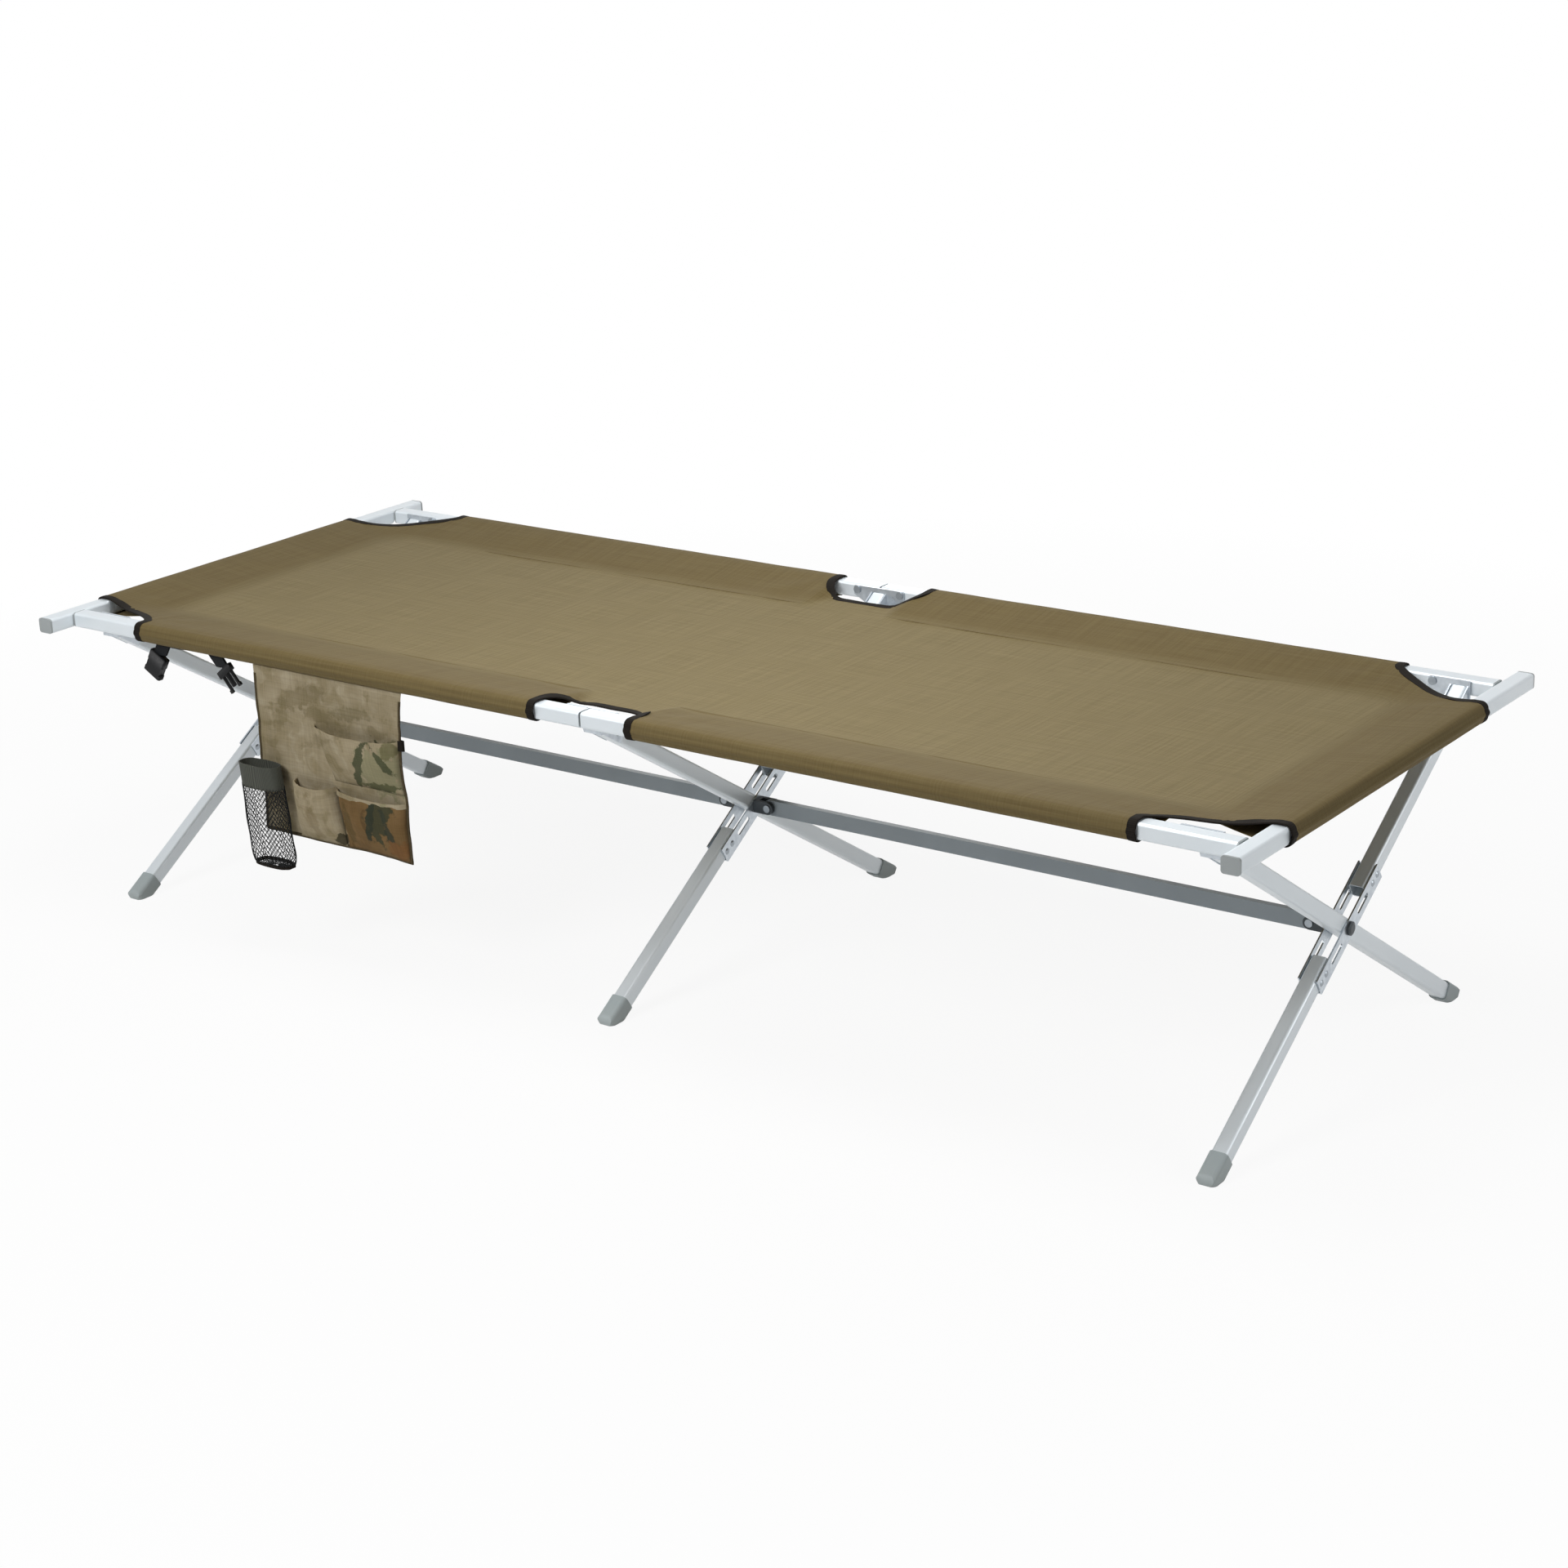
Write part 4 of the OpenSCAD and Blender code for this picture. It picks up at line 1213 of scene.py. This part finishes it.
LEAN = {"strap_socket": math.radians(30), "strap_plug": math.radians(-40)}
for name, lean in LEAN.items():
    low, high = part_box(name)
    x, y = (low.x + high.x) / 2, (low.y + high.y) / 2
    top, foot = high.z - 0.0004, low.z
    side = (
        (0.0013, foot), (0.0016, foot + 0.006), (0.0019, top - 0.006), (0.0020, top - 0.003),
        (0.0014, top - 0.0008),
    )
    path = [(x, y - d, z) for d, z in side] + [(x, y, top)] + [(x, y + d, z) for d, z in side[::-1]]
    path = [(a - math.tan(lean) * (top - c), b, c) for a, b, c in path]
    loop = band_of_cloth(name + "_webbing", path, high.x - low.x, 0.0011, name)
    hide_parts(name)

low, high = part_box("strap_socket")
x, y = (low.x + high.x) / 2, (low.y + high.y) / 2
run_path = [
    (x - 0.004, y, high.z + 0.0010), (x + 0.014, y, high.z - 0.0002),
    (x + 0.036, y, high.z - 0.0005), (x + 0.056, y, high.z + 0.0006),
]
across_run = [Vector((0, 0.020 * (i / 6 - 0.5), 0)) for i in range(7)]
rows = []
for k, point in enumerate(run_path):
    rows.append([(Vector(point) + d, (k * 0.02, 0.02 * i / 6)) for i, d in enumerate(across_run)])
run = cloth("strap_run", rows, webbing, 0.0012, Vector((0, 0, -1)))
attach(run, "rail_near_left")

# Buckle halves are moulded acetal: black, with a fine uneven satin finish.
acetal, tree, shader, at = new_material("black moulded acetal", "#0d0e10", 0.45)
shader.inputs["Specular IOR Level"].default_value = 0.25
grain = add_node(tree, "TexNoise", inputs={"Vector": at, "Scale": 500, "Detail": 2})
tone = add_node(
    tree, "MapRange", inputs={0: grain.outputs["Fac"], 1: 0.3, 2: 0.7, 3: 0.38, 4: 0.52}
)
tree.links.new(tone.outputs[0], shader.inputs["Roughness"])

# The halves hang askew, because the webbing is stiff and was last bent so.
for node, strap_name in (("buckle_socket", "strap_socket"), ("buckle_plug", "strap_plug")):
    low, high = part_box(strap_name)
    lean = LEAN[strap_name]
    pivot = Vector(((low.x + high.x) / 2, (low.y + high.y) / 2, low.z))
    bm = bmesh.new()
    bm.from_mesh(nodes[node].data)
    bmesh.ops.remove_doubles(bm, verts=bm.verts, dist=1e-6)
    turn = Matrix.Translation(pivot + Vector((-math.tan(lean) * (high.z - low.z), 0, 0)))
    turn = turn @ Matrix.Rotation(lean, 4, "Y") @ Matrix.Translation(-pivot)
    bmesh.ops.transform(bm, matrix=turn, verts=bm.verts)
    half = finish_mesh(node + "_half", bm, acetal, strap_name)
    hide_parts(node)
